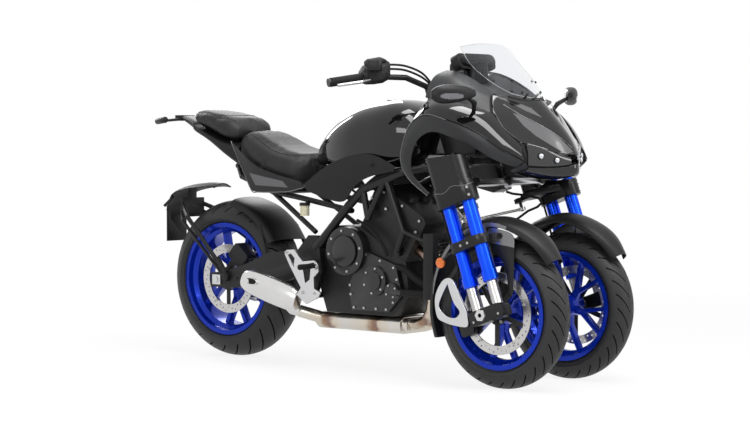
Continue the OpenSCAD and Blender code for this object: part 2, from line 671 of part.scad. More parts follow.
// short muffler: columns are the distance along it, half height and half width
muffler_rows = [[0, 38, 28], [30, 50, 35], [120, 54, 38], [215, 50, 35], [252, 42, 30], [266, 34, 25]];
muffler_a = [-212, -190, 262];
muffler_b = [-450, -226, 336];
module silencer() {
    v = unit(muffler_b - muffler_a);
    color("silver") difference() {
        union() {
            translate(muffler_a) rotate([0, acos(v[2]), atan2(v[1], v[0])]) rotate([0, -90, 0])
                rings([for (r = stations(muffler_rows, 10)) ring([r[0], r[2], -r[1], 0, r[1]], 24, 1, 1)]);
            w = unit(outlet_b - outlet_a);
            bent([outlet_b + 0.4 * w, outlet_b + 26 * w, muffler_a + 110 * v], 44);
        }
        rod(muffler_b - 20 * v, muffler_b + 40 * v, 34);
    }
}

// tank, seats and tail; columns: x, half width, low z, z of the widest place, top z
tank_rows = [[-226, 60, 795, 812, 846], [-170, 110, 785, 830, 905], [-80, 158, 780, 855, 972],
    [20, tank_half - 4, 780, 870, 1018], [110, tank_half, 780, 875, 1040], [210, tank_half - 4, 780, 880, 1048],
    [300, 160, 805, 885, 1018], [345, 112, 835, 890, 966]];
module fuel_tank() { color([0.03, 0.03, 0.03]) body(tank_rows, 18, 36, 0.72, 0.5); }
rider_rows = [[-604, 112, 785, 855, 928], [-560, 132, 770, 848, 930], [-500, 150, 742, 832, 911],
    [-400, seat_half, 715, 806, 868], [-300, seat_half, 702, 786, 840], [-256, 140, 710, 785, 836],
    [-232, 96, 735, 790, 834]];
module rider_seat() { color([0.09, 0.09, 0.09]) body(rider_rows, 16, 36, 0.5, 0.6); }
pillion_rows = [[-902, 62, 978, 990, 1003], [-872, 98, 955, 984, 1011], [-780, 124, 925, 968, 1004],
    [-690, 134, 897, 945, 986], [-640, 126, 888, 930, 972], [-610, 100, 886, 918, 946]];
module pillion_seat() { color([0.09, 0.09, 0.09]) body(pillion_rows, 14, 32, 0.5, 0.5); }
tail_rows = [[-1000, 40, 972, 981, 990], [-902, 78, 935, 953, 972], [-872, 94, 918, 936, 949],
    [-780, 110, 880, 902, 919], [-690, 116, 822, 860, 891], [-612, 106, 772, 828, 880]];
module tail_cowl() {
    color([0.06, 0.06, 0.06]) {
        body(tail_rows, 14, 32, 0.6, 0.6);
        translate([-780, 0, 905]) cylinder(h = 18.4, d = 6);
    }
}
module tail_lamp() {
    color("darkred") translate([-1040, -38, 968]) cube([39.5, 76, 24]);
    color([0.1, 0.1, 0.1]) both() {
        rod([-1012, 30, 975], [-1000, 150, 968], 12);
        rod([-1030, 150, 966], [-960, 175, 972], 26);
    }
}
// side panel, rows from the rear to the front; columns: upper edge point, lower edge point
side_rows = [[[-636, 122, 884], [-478, 168, 688]], [[-580, 141, 852], [-440, 172, 684]],
    [[-520, 158, 818], [-390, 176, 684]], [[-440, 171, 782], [-330, 180, 686]],
    [[-340, 178, 756], [-262, 184, 690]], [[-200, 186, 730], [-184, 188, 706]]];
function bowed(rows, bulge) = [for (r = rows) [for (t = [0, 0.5, 1])
    r[0] + (r[1] - r[0]) * t + [0, bulge * 4 * t * (1 - t), 0]]];
side_net = net(bowed(side_rows, 3), 12, 4);
module side_panels() {
    color([0.07, 0.07, 0.07]) both() {
        skin(bowed(side_rows, 3), 12, 4, panel_t);
        p = on(side_net, 7, 3, -panel_t);
        c = rail[2] + (p[0] - rail[2][0]) / (rail[3][0] - rail[2][0]) * (rail[3] - rail[2]);
        rod(p, c + (subframe_d / 2 + 0.5) * unit(p - c), 10);
    }
}
// knee panel, rows from the rear to the front, each from its upper to its lower edge
knee_rows = [[[-176, 190, 720], [-172, 191, 706], [-164, 190, 694]],
    [[-90, 194, 776], [-78, 197, 728], [-56, 190, 664]],
    [[0, 194, 818], [15, 198, 752], [30, 190, 656]], [[90, 195, 838], [90, 199, 790], [80, 192, 720]],
    [[180, 196, 838], [180, 200, 800], [170, 193, 758]], [[280, 196, 796], [280, 198, 786], [278, 194, 776]]];
module knee_panels() {
    color([0.07, 0.07, 0.07]) both() {
        skin(knee_rows, 12, 5, panel_t);
        rod([49.4, 194, 715], [66, 171, 694.2], 10);
    }
}

// front body: rows of points on the right half, from the middle outward; mirrored into one panel
function full(rows) = [for (r = rows)
    concat([for (i = [len(r) - 1 : -1 : 1]) [r[i][0], -r[i][1], r[i][2]]], r)];
nose_rows = [[[812, 0, 1036], [784, 60, 1034], [740, 120, 1048], [702, 148, 1056]],
    [[872, 0, 976], [836, 70, 974], [790, 146, 987], [744, 198, 1000]],
    [[934, 0, 906], [892, 75, 904], [838, 154, 918], [796, 206, 934]],
    [[970, 0, 842], [932, 66, 848], [886, 128, 870], [850, 176, 886]]];
function on(g, i, j, d) = g[i][j] + d * net_normal(g, i, j);
nose_net = net(full(nose_rows), 12, 20);
lip_rows = full([[[972, 0, 810], [952, 40, 798], [908, 106, 796], [876, 164, 798]],
    [[968, 0, 772], [944, 42, 766], [896, 108, 774], [864, 172, 786]],
    [[904, 0, 754], [884, 46, 754], [846, 108, 762], [818, 172, 778]]]);
lip_net = net(lip_rows, 8, 20);
module nose_cowl() {
    color([0.05, 0.05, 0.05]) {
        skin(full(nose_rows), 12, 20, -panel_t);
        skin(lip_rows, 8, 20, -panel_t);
    }
}
// columns: upper edge point, lower edge point, outward bulge
shoulder_rows = [[[500, 252, 1054], [440, 290, 962], 6], [[570, 262, 1042], [520, 312, 992], 12],
    [[650, 250, 1026], [620, 318, 972], 14], [[744, 214, 996], [730, 300, 932], 14],
    [[808, 214, 930], [815, 262, 872], 10], [[862, 186, 872], [884, 200, 822], 4]];
function band(rows) = [for (r = rows) [for (t = [0, 0.33, 0.67, 1])
    r[0] + (r[1] - r[0]) * t + [0, r[2] * 4 * t * (1 - t), r[2] * 2 * t * (1 - t)]]];
shoulder_net = net(band(shoulder_rows), 14, 6);
module shoulder_panels() { color([0.03, 0.03, 0.03]) both() skin(band(shoulder_rows), 14, 6, panel_t); }
arch_rows = [[[470, 236, 690], [480, 232, 700], 2], [[396, 246, 745], [424, 248, 752], 4],
    [[368, 260, 800], [412, 260, 796], 6], [[376, 272, 860], [428, 272, 850], 6],
    [[428, 287, 950], [470, 290, 900], 6], [[520, 312.5, 988], [545, 306, 926], 6],
    [[620, 318, 968], [620, 306, 910], 6], [[730, 300, 928], [722, 296, 872], 6],
    [[815, 262, 868], [800, 262, 822], 4], [[882, 199, 817], [852, 202, 796], 2]];
arch_net = net(band(arch_rows), 22, 5);
module arch_panels() { color([0.15, 0.15, 0.16]) both() skin(band(arch_rows), 22, 5, panel_t); }
lamp_rows = [[[952, 22, 836], [938, 54, 842], [900, 114, 864], [866, 166, 880]],
    [[962, 22, 822], [944, 58, 824], [908, 116, 832], [876, 168, 840]],
    [[960, 22, 810], [940, 56, 804], [902, 110, 802], [870, 160, 806]]];
module headlamps() {
    color("white") both() {
        skin(lamp_rows, 4, 8, -panel_t);
        translate([892, 58, 823]) rotate([0, 90, 20]) cylinder(h = 46, d = 26);
        translate([858, 106, 838]) rotate([0, 90, 25]) cylinder(h = 46, d = 26);
    }
}
screen_rows = full([[[578, 0, screen_top], [572, 80, screen_top - 2], [556, 152, screen_top - 14]],
    [[648, 0, 1185], [640, 85, 1182], [612, 160, 1168]], [[728, 0, 1115], [718, 75, 1112], [690, 140, 1104]],
    [[800, 0, 1046], [782, 45, 1050], [748, 92, 1062]]]);
module windscreen() { color([0.7, 0.75, 0.8, 0.4]) skin(screen_rows, 10, 12, -3); }
cockpit_rows = [[[470, 120, 1150], [462, 180, 1130], [458, 215, 1085], [462, 235, 1050]],
    [[540, 125, 1140], [545, 185, 1118], [552, 225, 1070], [560, 245, 1038]],
    [[620, 130, 1105], [625, 180, 1085], [640, 215, 1052], [655, 235, 1018]],
    [[692, 122, 1062], [700, 158, 1050], [718, 186, 1022], [735, 205, 992]]];
module cockpit_cowl() { color([0.16, 0.16, 0.17]) both() skin(cockpit_rows, 10, 8, -panel_t); }
// struts from the steering head to the inner faces of the panels
module fairing_stay() {
    hub = [642, 45, 928];
    lamp_net = net(lamp_rows, 4, 8);
    cockpit_net = net(cockpit_rows, 10, 8);
    screen_net = net(screen_rows, 10, 12);
    g = panel_t + 0.4;
    color([0.1, 0.1, 0.1]) both() {
        yplate(34 + near, 42) polygon([[436, 830], [470, 900], [640, 950], [700, 950], [700, 925], [540, 850]]);
        // columns: panel point just off its inner face, the same point further in, elbow
        for (t = [[on(nose_net, 6, 6, -0.4), on(nose_net, 6, 6, -24)],
            [on(shoulder_net, 6, 3, -g), on(shoulder_net, 6, 3, -24)],
            [on(arch_net, 14, 2, -g), on(arch_net, 14, 2, -24)],
            [on(cockpit_net, 5, 4, -0.4), on(cockpit_net, 5, 4, -24)],
            [on(lamp_net, 2, 7, -0.9), on(lamp_net, 2, 7, -24)],
            [on(screen_net, 9, 4, -0.4), on(screen_net, 9, 4, -22)],
            [on(lip_net, 4, 5, -1.2), on(lip_net, 4, 5, -20)]])
            bent([[t[0][0], abs(t[0][1]), t[0][2]], [t[1][0], abs(t[1][1]), t[1][2]], hub], 9);
        ybar(hub[0], hub[2], 37, 58, 26);
    }
}
module instrument_panel() {
    color([0.08, 0.08, 0.08]) {
        translate([512, 0, 1150]) rotate([0, -22, 0]) translate([-14, 0, 0]) rotate([90, 0, 90]) {
            linear_extrude(34) round_rect(-114, 2, 114, 64, 24);
            linear_extrude(50) round_rect(-96, 12, 96, 54, 20);
        }
        both() bent([[508, 60, 1165], [560, 50, 900], [548, 49.4, 840]], 14);
    }
}
// mirror housing along its own length: columns x, half depth, low z, z of the widest place, top z
mirror_rows = [[-84, 10, -10, 0, 12], [-50, 22, -24, 0, 26], [10, 28, -36, 0, 34], [58, 24, -34, 0, 26],
    [82, 10, -16, -4, 8]];
module mirrors() {
    color([0.08, 0.08, 0.08]) both() {
        bent([on(shoulder_net, 7, 1, 0.4), on(shoulder_net, 7, 1, 26), [712, 338, 1058]], 16);
        translate([690, 368, 1062]) rotate([0, 0, 34]) rotate([0, 0, 90]) body(mirror_rows, 10, 24, 0.75, 0.75);
    }
}

// swingarm, rear suspension and rear wheel fittings; the left arm runs outside the chain
plate_x = -1075;
arm_t2 = 24;
arm_in = [100, 118.5];
chain_y = 99;
// arm outline: columns share of the way from the pivot to the axle, height above that line
arm_rows = [[1.086, -21.6], [1.086, 32.4], [0.9, 29.5], [0.698, 43.2], [0.435, 74], [0.233, 69.7], [0.05, 39],
    [-0.02, 19.4], [-0.02, -22.6], [0.05, -31], [0.233, -50.3], [0.617, -51.3], [0.9, -42.5]];
function arm_pt(f, h) = [swing_x + f * (rear_axle_x - swing_x), swing_z + f * (rear_r - swing_z) + h];
// rear end of the cross piece ahead of the tyre, and the height of the chain's middle line
cross_x = rear_axle_x + rear_r + 17;
function chain_mid(x) = front_sprocket[1]
    + (rear_r - front_sprocket[1]) * (x - front_sprocket[0]) / (rear_axle_x - front_sprocket[0]);
module swingarm() {
    color([0.13, 0.13, 0.13]) difference() {
        union() {
            for (s = [0, 1]) side(s - 0.5) {
                yplate(arm_in[s], arm_in[s] + arm_t2) polygon([for (r = arm_rows) arm_pt(r[0], r[1])]);
            }
            ybar(swing_x, swing_z, -frame_half + 17, frame_half - 17, 52);
            yplate(-arm_in[0] - 1, 92) polygon([[cross_x, 372], [cross_x, 426], [-215, 424], [-215, 378]]);
            yplate(91, arm_in[1] + 1) polygon([[cross_x, chain_mid(cross_x) + 15],
                [cross_x, chain_mid(cross_x) + 45], [-215, chain_mid(-215) + 37], [-215, chain_mid(-215) + 1]]);
        }
        ybar(swing_x, swing_z, -frame_half, frame_half, 20 + 2 * near);
        ybar(rear_axle_x, rear_r, -200, 200, rear_axle_d + 2 * near);
        spool = arm_pt(0.77856, -8.33);
        for (s = [0, 1]) side(s - 0.5) ybar(spool[0], spool[1], arm_in[s] + 4, arm_in[s] + arm_t2 + 1, 8);
    }
}
module rear_shock() {
    foot = [-300, 0, 450];
    d = unit([-185.6, 0, 495.6] - foot);
    color("gray") {
        translate([-300, 0, 425.7]) cylinder(h = 30, d = 26);
        rod(foot, [-185.6, 0, 495.6], 30);
        for (i = [1 : 5]) translate(foot + i * 15 * d) rotate([0, acos(d[2]), 0])
            rotate_extrude() translate([19, 0]) circle(d = 10);
    }
}
// edge of the guard over the tyre: columns share of the half width, drop
hugger_edge = [[-1, -30], [-0.85, -4], [0, 6], [0.85, -4], [1, -30]];
hugger_foot = arm_pt(0.4793, 70.8);
module rear_hugger() {
    color([0.08, 0.08, 0.08]) {
        rear_wheel_at() skin([for (a = [30, 42, 54, 66, 80]) [for (c = hugger_edge)
            let (q = rear_r + 16 + c[1]) [q * cos(a), c[0] * 112, q * sin(a)]]], 10, 8, -panel_t);
        lug = [rear_axle_x + (rear_r - 6) * cos(45), 111, rear_r + (rear_r - 6) * sin(45)];
        for (s = [0, 1]) side(s - 0.5) rod(lug, [hugger_foot[0], s > 0 ? 136 : 112, hugger_foot[1]], 12);
    }
}
module plate_holder() {
    color([0.08, 0.08, 0.08]) {
        for (s = [0, 1]) side(s - 0.5) {
            y = arm_in[s] + arm_t2;
            foot = [rear_axle_x + 53.5, rear_r + 13.5];
            bent([[foot[0] + 6, y + 10, foot[1] + 4], [-770, y + 14, rear_r + 149.5], [-880, 128, 572],
                [-978, 58, 622]], 18);
            bent([[foot[0] - 8, y + 10, foot[1]], [-820, y + 14, rear_r + 159.5], [-925, 112, 556],
                [-978, 58, 590]], 14);
            ybar(foot[0], foot[1], y + near, y + 18, 36);
        }
        translate([-985, -64, 566]) cube([14, 128, 80]);
        translate([-980, -20, 640]) cube([8, 40, 54.5]);
        // flat carrier for a plate, with two bolt holes
        difference() {
            translate([plate_x, -56, 462]) cube([7, 112, 150]);
            for (y = [-40, 40]) translate([plate_x - 5, y, 560]) rotate([0, 90, 0])
                cylinder(h = 30, d = 6.6, $fn = 32);
        }
        // short guard above the tyre that bends down to the carrier
        skin([for (r = hood_rows) [for (t = [-1, -0.5, 0, 0.5, 1]) [r[0], t * r[1], r[2] - 16 * t * t]]],
            12, 8, panel_t);
        // reflector brackets beside the guard
        both() rod([-1040, 50, 650], [-1052, 92, 611], 12);
    }
}
// columns: x, half width, height of the crown
hood_rows = [[-800, 48, 706], [-860, 60, 708], [-960, 66, 697], [-1035, 64, 672], [plate_x + 4, 58, 606]];
sprocket_y = 104;
front_sprocket = [-60, 402];
module chain_outline(d1, d2) {
    p = [rear_axle_x, rear_r];
    q = front_sprocket;
    l = norm(q - p);
    a = atan2(q[1] - p[1], q[0] - p[0]);
    b = asin((d1 - d2) / 2 / l);
    translate(p) circle(d = d1, $fn = 96);
    translate(q) circle(d = d2, $fn = 48);
    up = [cos(a + 90 - b), sin(a + 90 - b)];
    down = [cos(a - 90 + b), sin(a - 90 + b)];
    polygon([p, q, q + d2 / 2 * up, p + d1 / 2 * up]);
    polygon([p, p + d1 / 2 * down, q + d2 / 2 * down, q]);
}
module drive_chain() {
    color([0.3, 0.28, 0.24]) yplate(chain_y, chain_y + 17) difference() {
        chain_outline(sprocket_d + 26, 94);
        chain_outline(sprocket_d + 3, 70);
    }
}
// foot rests, heel guards and pedals; the gaps are the heel guard's two openings
heel_gaps = [[[-236, 444], [-220, 450], [-200, 432], [-206, 394]],
    [[-160, 402], [-116, 406], [-122, 352], [-146, 336]]];
module foot_controls() {
    color("silver") both() {
        difference() {
            yplate(212, 222) polygon([[-252, 446], [-242, 462], [-206, 466], [-160, 421], [-100, 427],
                [-80, 412], [-77, 384], [-102, 362], [-100, 318], [-68, 304], [-82, 284], [-142, 256],
                [-190, 290], [-168, 318], [-226, 402]]);
            for (p = heel_gaps) yplate(205, 230) polygon(p);
        }
        for (p = [[-182, 424], [-158, 306]]) ybar(p[0], p[1], frame_half + 4 + near, 213, 18);
        bent([[-104, 218, 408], [-92, 262, 406], [-88, 318, 406]], 22);
        rod([-100, 216, 410], [-150, 190, 404], 14);
    }
}
module rear_axle() {
    color("silver") {
        ybar(rear_axle_x, rear_r, -arm_in[0] - arm_t2 - 16, arm_in[1] + arm_t2 + 16, rear_axle_d);
        for (s = [0, 1]) side(s - 0.5) {
            ybar(rear_axle_x, rear_r, rear_hub + 8 + near, arm_in[s] - near, 38);
            y = arm_in[s] + arm_t2;
            yplate(y + near, y + 11) translate([rear_axle_x - 22, rear_r - 20]) square([44, 40]);
        }
        // caliper over the rear disc, on a plate from the axle
        difference() {
            yplate(-arm_in[0] + near, -rear_hub + 16) translate([rear_axle_x, rear_r]) rotate(48)
                round_rect(96, -44, 168, 44, 12);
            yplate(-rear_hub - 13, -rear_hub + 6) translate([rear_axle_x, rear_r]) rotate(48)
                translate([0, -60]) square([153, 120]);
        }
        yplate(-arm_in[0] + near, -rear_hub - 24) translate([rear_axle_x, rear_r]) rotate(48)
            translate([0, -17]) square([110, 34]);
    }
}
module brake_reservoir() {
    color([0.85, 0.83, 0.7]) mirror([0, 1, 0]) translate([-196, 166, 596]) cylinder(h = 40, d = 36);
    color([0.1, 0.1, 0.1]) mirror([0, 1, 0]) {
        translate([-196, 166, 635]) cylinder(h = 12, d = 42);
        rod([-196, 166, 640], [-200, 139, 651.2], 10);
    }
}
stand_pivot = [-40, 168, 246];
stand_tilt = 18;
module side_stand() {
    color([0.15, 0.15, 0.15]) translate(stand_pivot) rotate([stand_tilt, 0, 0]) {
        difference() {
            union() {
                ybar(0, 0, -8, 8, 36);
                rod([-8, 0, 0], [-214, 0, -4], 18);
                translate([-232, -14, -14]) cube([44, 28, 20]);
            }
            ybar(0, 0, -20, 20, 14 + 2 * run);
        }
    }
}

main_frame();
steering_head();
rear_subframe();
engine_case();
engine_head();
engine_covers();
radiator();
exhaust();
silencer();
fuel_tank();
knee_panels();
rider_seat();
pillion_seat();
tail_cowl();
tail_lamp();
side_panels();
nose_cowl();
shoulder_panels();
arch_panels();
headlamps();
windscreen();
instrument_panel();
cockpit_cowl();
fairing_stay();
mirrors();
lean_arms();
lean_uprights();
swingarm();
rear_shock();
rear_hugger();
plate_holder();
drive_chain();
foot_controls();
rear_axle();
brake_reservoir();
side_stand();
handlebar();
grips();
bar_controls();
tie_rod_left();
tie_rod_right();
fork_yoke_left();
fork_yoke_right();
fork_tubes_left();
fork_tubes_right();
fork_legs_left();
fork_legs_right();
fender_left();
fender_right();
rim_front_left();
rim_front_right();
tyre_front_left();
tyre_front_right();
disc_front_left();
disc_front_right();
rim_rear();
tyre_rear();
disc_rear();
sprocket_rear();
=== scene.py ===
# Finish of a leaning reverse trike: paint, castings, tyres, seats, lamps and small fittings
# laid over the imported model, in its own frame (metres, +X forward, +Y the rider's left, +Z up).
import json
import math

import bpy
from mathutils import Matrix, Vector

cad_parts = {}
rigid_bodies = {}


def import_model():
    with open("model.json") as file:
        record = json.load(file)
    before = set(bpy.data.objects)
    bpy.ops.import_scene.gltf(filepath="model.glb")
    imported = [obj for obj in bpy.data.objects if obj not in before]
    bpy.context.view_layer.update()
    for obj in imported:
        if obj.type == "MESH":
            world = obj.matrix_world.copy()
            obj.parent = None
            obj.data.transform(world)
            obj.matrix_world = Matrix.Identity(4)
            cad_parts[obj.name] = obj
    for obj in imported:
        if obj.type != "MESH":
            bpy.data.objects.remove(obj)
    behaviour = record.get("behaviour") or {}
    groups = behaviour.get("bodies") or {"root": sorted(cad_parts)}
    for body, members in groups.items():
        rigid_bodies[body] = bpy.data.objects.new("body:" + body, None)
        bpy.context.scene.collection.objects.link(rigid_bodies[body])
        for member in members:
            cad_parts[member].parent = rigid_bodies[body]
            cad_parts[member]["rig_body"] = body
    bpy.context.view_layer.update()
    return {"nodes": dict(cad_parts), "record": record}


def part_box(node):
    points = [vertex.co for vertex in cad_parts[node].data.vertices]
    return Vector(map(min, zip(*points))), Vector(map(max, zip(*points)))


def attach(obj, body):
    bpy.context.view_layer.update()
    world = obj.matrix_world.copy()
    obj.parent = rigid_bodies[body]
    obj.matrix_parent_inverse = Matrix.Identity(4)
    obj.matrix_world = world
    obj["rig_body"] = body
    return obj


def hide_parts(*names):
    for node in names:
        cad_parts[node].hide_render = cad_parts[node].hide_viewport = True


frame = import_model()
NODES = frame["nodes"]

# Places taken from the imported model


def middle(node):
    low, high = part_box(node)
    return (low + high) / 2


SIDES = (("left", 1), ("right", -1))
FRONT_AXLE = {side: middle("tyre_front_" + side) for side, s in SIDES}
REAR_AXLE = middle("tyre_rear")
FRONT_R = FRONT_AXLE["left"].z
REAR_R = REAR_AXLE.z
CASTER = math.radians(20)
STEER_X = 0.77459  # where the steering axis passes the height of the front axle
ALONG = Vector((-math.sin(CASTER), 0, math.cos(CASTER)))
ACROSS = Vector((math.cos(CASTER), 0, math.sin(CASTER)))
FORK_Y = 0.320  # sideways place of the fork tubes
TUBE_PITCH = 0.092  # from the rear tube to the front one


def steer_point(u, y, w):
    """A point given across and along the steering axis."""
    return Vector((STEER_X, y, FRONT_R)) + u * ACROSS + w * ALONG


def steer_place(at):
    """A point's places across and along the steering axis."""
    off = at - Vector((STEER_X, 0, FRONT_R))
    return off.dot(ACROSS), off.dot(ALONG)


def mirrored(points, s):
    return [(x, s * y, z) for x, y, z in points]


def radius_from(axle, at):
    return math.hypot(at.x - axle.x, at.z - axle.z)


# Modelling helpers


def only(obj):
    """Makes one object the only selected and the active one."""
    bpy.ops.object.select_all(action="DESELECT")
    obj.select_set(True)
    bpy.context.view_layer.objects.active = obj


def edit(obj, action="SELECT"):
    """Opens a mesh for editing, all of it selected or none."""
    only(obj)
    bpy.ops.object.mode_set(mode="EDIT")
    bpy.ops.mesh.select_mode(type="VERT")
    bpy.ops.mesh.select_all(action=action)


def leave():
    bpy.ops.object.mode_set(mode="OBJECT")


def settle(obj):
    """Takes an object's place, turn and scale into its mesh."""
    only(obj)
    bpy.ops.object.transform_apply(location=True, rotation=True, scale=True)


def start(add, **values):
    """A fresh object from one of Blender's primitives."""
    bpy.ops.object.select_all(action="DESELECT")
    add(**values)
    return bpy.context.active_object


def clean(obj, merge=0.0):
    """Merges doubles, where a distance is given, and turns the normals outward."""
    edit(obj)
    if merge:
        bpy.ops.mesh.remove_doubles(threshold=merge)
    bpy.ops.mesh.normals_make_consistent(inside=False)
    leave()


def joined(objects):
    bpy.ops.object.select_all(action="DESELECT")
    for obj in objects:
        obj.select_set(True)
    bpy.context.view_layer.objects.active = objects[0]
    bpy.ops.object.join()
    return objects[0]


def copied(source, matrix):
    """A copy with a mesh of its own, put in place by a matrix."""
    obj = source.copy()
    obj.data = source.data.copy()
    bpy.context.collection.objects.link(obj)
    obj.matrix_world = matrix
    return obj


def facing(place, way):
    """The matrix that carries the origin to a place and +Z along a way."""
    return Matrix.Translation(Vector(place)) @ Vector(way).to_track_quat("Z", "Y").to_matrix().to_4x4()


def modify(obj, kind, **values):
    """Adds one modifier, sets it and applies it."""
    only(obj)
    mod = obj.modifiers.new(kind.lower(), kind)
    for key, value in values.items():
        setattr(mod, key, value)
    bpy.ops.object.modifier_apply(modifier=mod.name)


def break_edges(obj, width, degrees, segments=2):
    """Bevels the edges that turn more sharply than an angle."""
    modify(obj, "BEVEL", width=width, segments=segments, limit_method="ANGLE",
           angle_limit=math.radians(degrees))


def smooth(obj, degrees=32):
    only(obj)
    bpy.ops.object.shade_smooth_by_angle(angle=math.radians(degrees))


def pick_faces(obj, test):
    """Selects the faces whose middle and normal pass a test."""
    edit(obj, "DESELECT")
    leave()
    for face in obj.data.polygons:
        face.select = test(face.center, face.normal)
    bpy.ops.object.mode_set(mode="EDIT")
    bpy.ops.mesh.select_mode(type="FACE")


def paint_faces(obj, material, test):
    """Gives the faces that pass a test a second finish."""
    obj.data.materials.append(material)
    index = len(obj.data.materials) - 1
    for face in obj.data.polygons:
        if test(face.center, face.normal):
            face.material_index = index


def finish_piece(obj, name, body, slot, material, *replaced):
    """Names a piece, paints it, records the body it rides and hides the nodes it replaces; the slot is not
    used.
    """
    obj.name = name
    obj.data.name = name
    obj.data.materials.clear()
    obj.data.materials.append(material)
    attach(obj, body)
    if replaced:
        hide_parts(*replaced)
    return obj


def body_of(node):
    for body, members in frame["record"]["behaviour"]["bodies"].items():
        if node in members:
            return body


def copy_of(node):
    """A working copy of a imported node, its loose triangles merged."""
    only(NODES[node])
    bpy.ops.object.duplicate()
    obj = bpy.context.active_object
    obj.parent = None
    for key in list(obj.keys()):
        del obj[key]
    edit(obj)
    bpy.ops.mesh.remove_doubles(threshold=0.00002)
    leave()
    return obj


def dressed(node, slot, material, edge, segments=2):
    """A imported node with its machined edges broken."""
    obj = copy_of(node)
    edit(obj)
    bpy.ops.mesh.dissolve_limited(angle_limit=math.radians(1))
    leave()
    break_edges(obj, edge, 38, segments)
    smooth(obj)
    return finish_piece(obj, node + "_finished", body_of(node), slot, material, node)


def moulded(node, slot, material, levels):
    """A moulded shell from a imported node: rounded rim and a smooth skin."""
    obj = copy_of(node)
    edit(obj)
    bpy.ops.mesh.tris_convert_to_quads(face_threshold=math.radians(50), shape_threshold=math.radians(70))
    leave()
    break_edges(obj, 0.0012, 50)
    modify(obj, "SUBSURF", levels=levels, render_levels=levels)
    smooth(obj, 50)
    return finish_piece(obj, node + "_moulded", body_of(node), slot, material, node)


# Finishes: shared effects are node groups, the Principled shader stays in each material


FLOAT, COLOUR, VECTOR = "NodeSocketFloat", "NodeSocketColor", "NodeSocketVector"


def new_group(name, inputs, outputs):
    """A node group with its inputs (name, kind, value) and outputs (name, kind)."""
    group = bpy.data.node_groups.new(name, "ShaderNodeTree")
    for label, kind, value in inputs:
        socket = group.interface.new_socket(name=label, in_out="INPUT", socket_type=kind)
        socket.default_value = value
    for label, kind in outputs:
        group.interface.new_socket(name=label, in_out="OUTPUT", socket_type=kind)
    return group, group.nodes.new("NodeGroupInput"), group.nodes.new("NodeGroupOutput")


def calc(tree, operation, a, b=0.0):
    """One math node; a and b are sockets or numbers."""
    node = tree.nodes.new("ShaderNodeMath")
    node.operation = operation
    for socket, value in zip(node.inputs, (a, b)):
        if isinstance(value, (int, float)):
            socket.default_value = value
        else:
            tree.links.new(value, socket)
    return node.outputs[0]


def object_place(tree):
    return tree.nodes.new("ShaderNodeTexCoord").outputs["Object"]


def split(tree, vector):
    """The sockets X, Y and Z of a vector."""
    node = tree.nodes.new("ShaderNodeSeparateXYZ")
    tree.links.new(vector, node.inputs[0])
    return node.outputs


def noise(tree, place, size, detail, rough=0.55):
    node = tree.nodes.new("ShaderNodeTexNoise")
    tree.links.new(place, node.inputs["Vector"])
    if isinstance(size, (int, float)):
        node.inputs["Scale"].default_value = size
    else:
        tree.links.new(size, node.inputs["Scale"])
    node.inputs["Detail"].default_value = detail
    node.inputs["Roughness"].default_value = rough
    return node.outputs[0]


def make_mottle():
    """Uneven tone and gloss: a slow drift with a finer one over it."""
    group, inner, outer = new_group("mottle", [
        ("Colour", COLOUR, (0.1, 0.1, 0.1, 1)), ("Tone", FLOAT, 0.2), ("Rough", FLOAT, 0.4),
        ("Drift", FLOAT, 0.1), ("Size", FLOAT, 8.0)], [("Colour", COLOUR), ("Rough", FLOAT)])
    place = object_place(group)
    slow = noise(group, place, inner.outputs["Size"], 5.0)
    fine = noise(group, place, calc(group, "MULTIPLY", inner.outputs["Size"], 14.0), 3.0)
    mixed = calc(group, "ADD", calc(group, "MULTIPLY", slow, 0.65),
                 calc(group, "MULTIPLY", fine, 0.35))
    centred = calc(group, "SUBTRACT", mixed, 0.5)
    value = calc(group, "ADD", calc(group, "MULTIPLY", centred, inner.outputs["Tone"]), 1.0)
    tint = group.nodes.new("ShaderNodeHueSaturation")
    group.links.new(inner.outputs["Colour"], tint.inputs["Color"])
    group.links.new(value, tint.inputs["Value"])
    group.links.new(tint.outputs["Color"], outer.inputs["Colour"])
    drift = calc(group, "MULTIPLY", centred, inner.outputs["Drift"])
    rough = calc(group, "ADD", inner.outputs["Rough"], drift)
    group.links.new(rough, outer.inputs["Rough"])
    return group


def make_grain():
    """Height of a moulded or cast skin: small cells under fine noise."""
    group, inner, outer = new_group("grain", [("Size", FLOAT, 400.0), ("Cells", FLOAT, 0.5)],
                                    [("Height", FLOAT)])
    place = object_place(group)
    cells = group.nodes.new("ShaderNodeTexVoronoi")
    group.links.new(place, cells.inputs["Vector"])
    group.links.new(inner.outputs["Size"], cells.inputs["Scale"])
    fine = noise(group, place, calc(group, "MULTIPLY", inner.outputs["Size"], 0.7), 4.0, 0.6)
    part = calc(group, "MULTIPLY", cells.outputs["Distance"], inner.outputs["Cells"])
    group.links.new(calc(group, "ADD", part, fine), outer.inputs["Height"])
    return group


def make_turned_lines():
    """Height of lines turned round an axle that runs sideways."""
    group, inner, outer = new_group("turned_lines", [
        ("Centre", VECTOR, (0, 0, 0)), ("Lines", FLOAT, 3000.0)], [("Height", FLOAT)])
    offset = group.nodes.new("ShaderNodeVectorMath")
    offset.operation = "SUBTRACT"
    group.links.new(object_place(group), offset.inputs[0])
    group.links.new(inner.outputs["Centre"], offset.inputs[1])
    parts = split(group, offset.outputs[0])
    square = calc(group, "ADD", calc(group, "MULTIPLY", parts["X"], parts["X"]),
                  calc(group, "MULTIPLY", parts["Z"], parts["Z"]))
    radius = calc(group, "SQRT", square)
    wave = calc(group, "SINE", calc(group, "MULTIPLY", radius, inner.outputs["Lines"]))
    group.links.new(wave, outer.inputs["Height"])
    return group


MOTTLE = make_mottle()
GRAIN = make_grain()
TURNED = make_turned_lines()


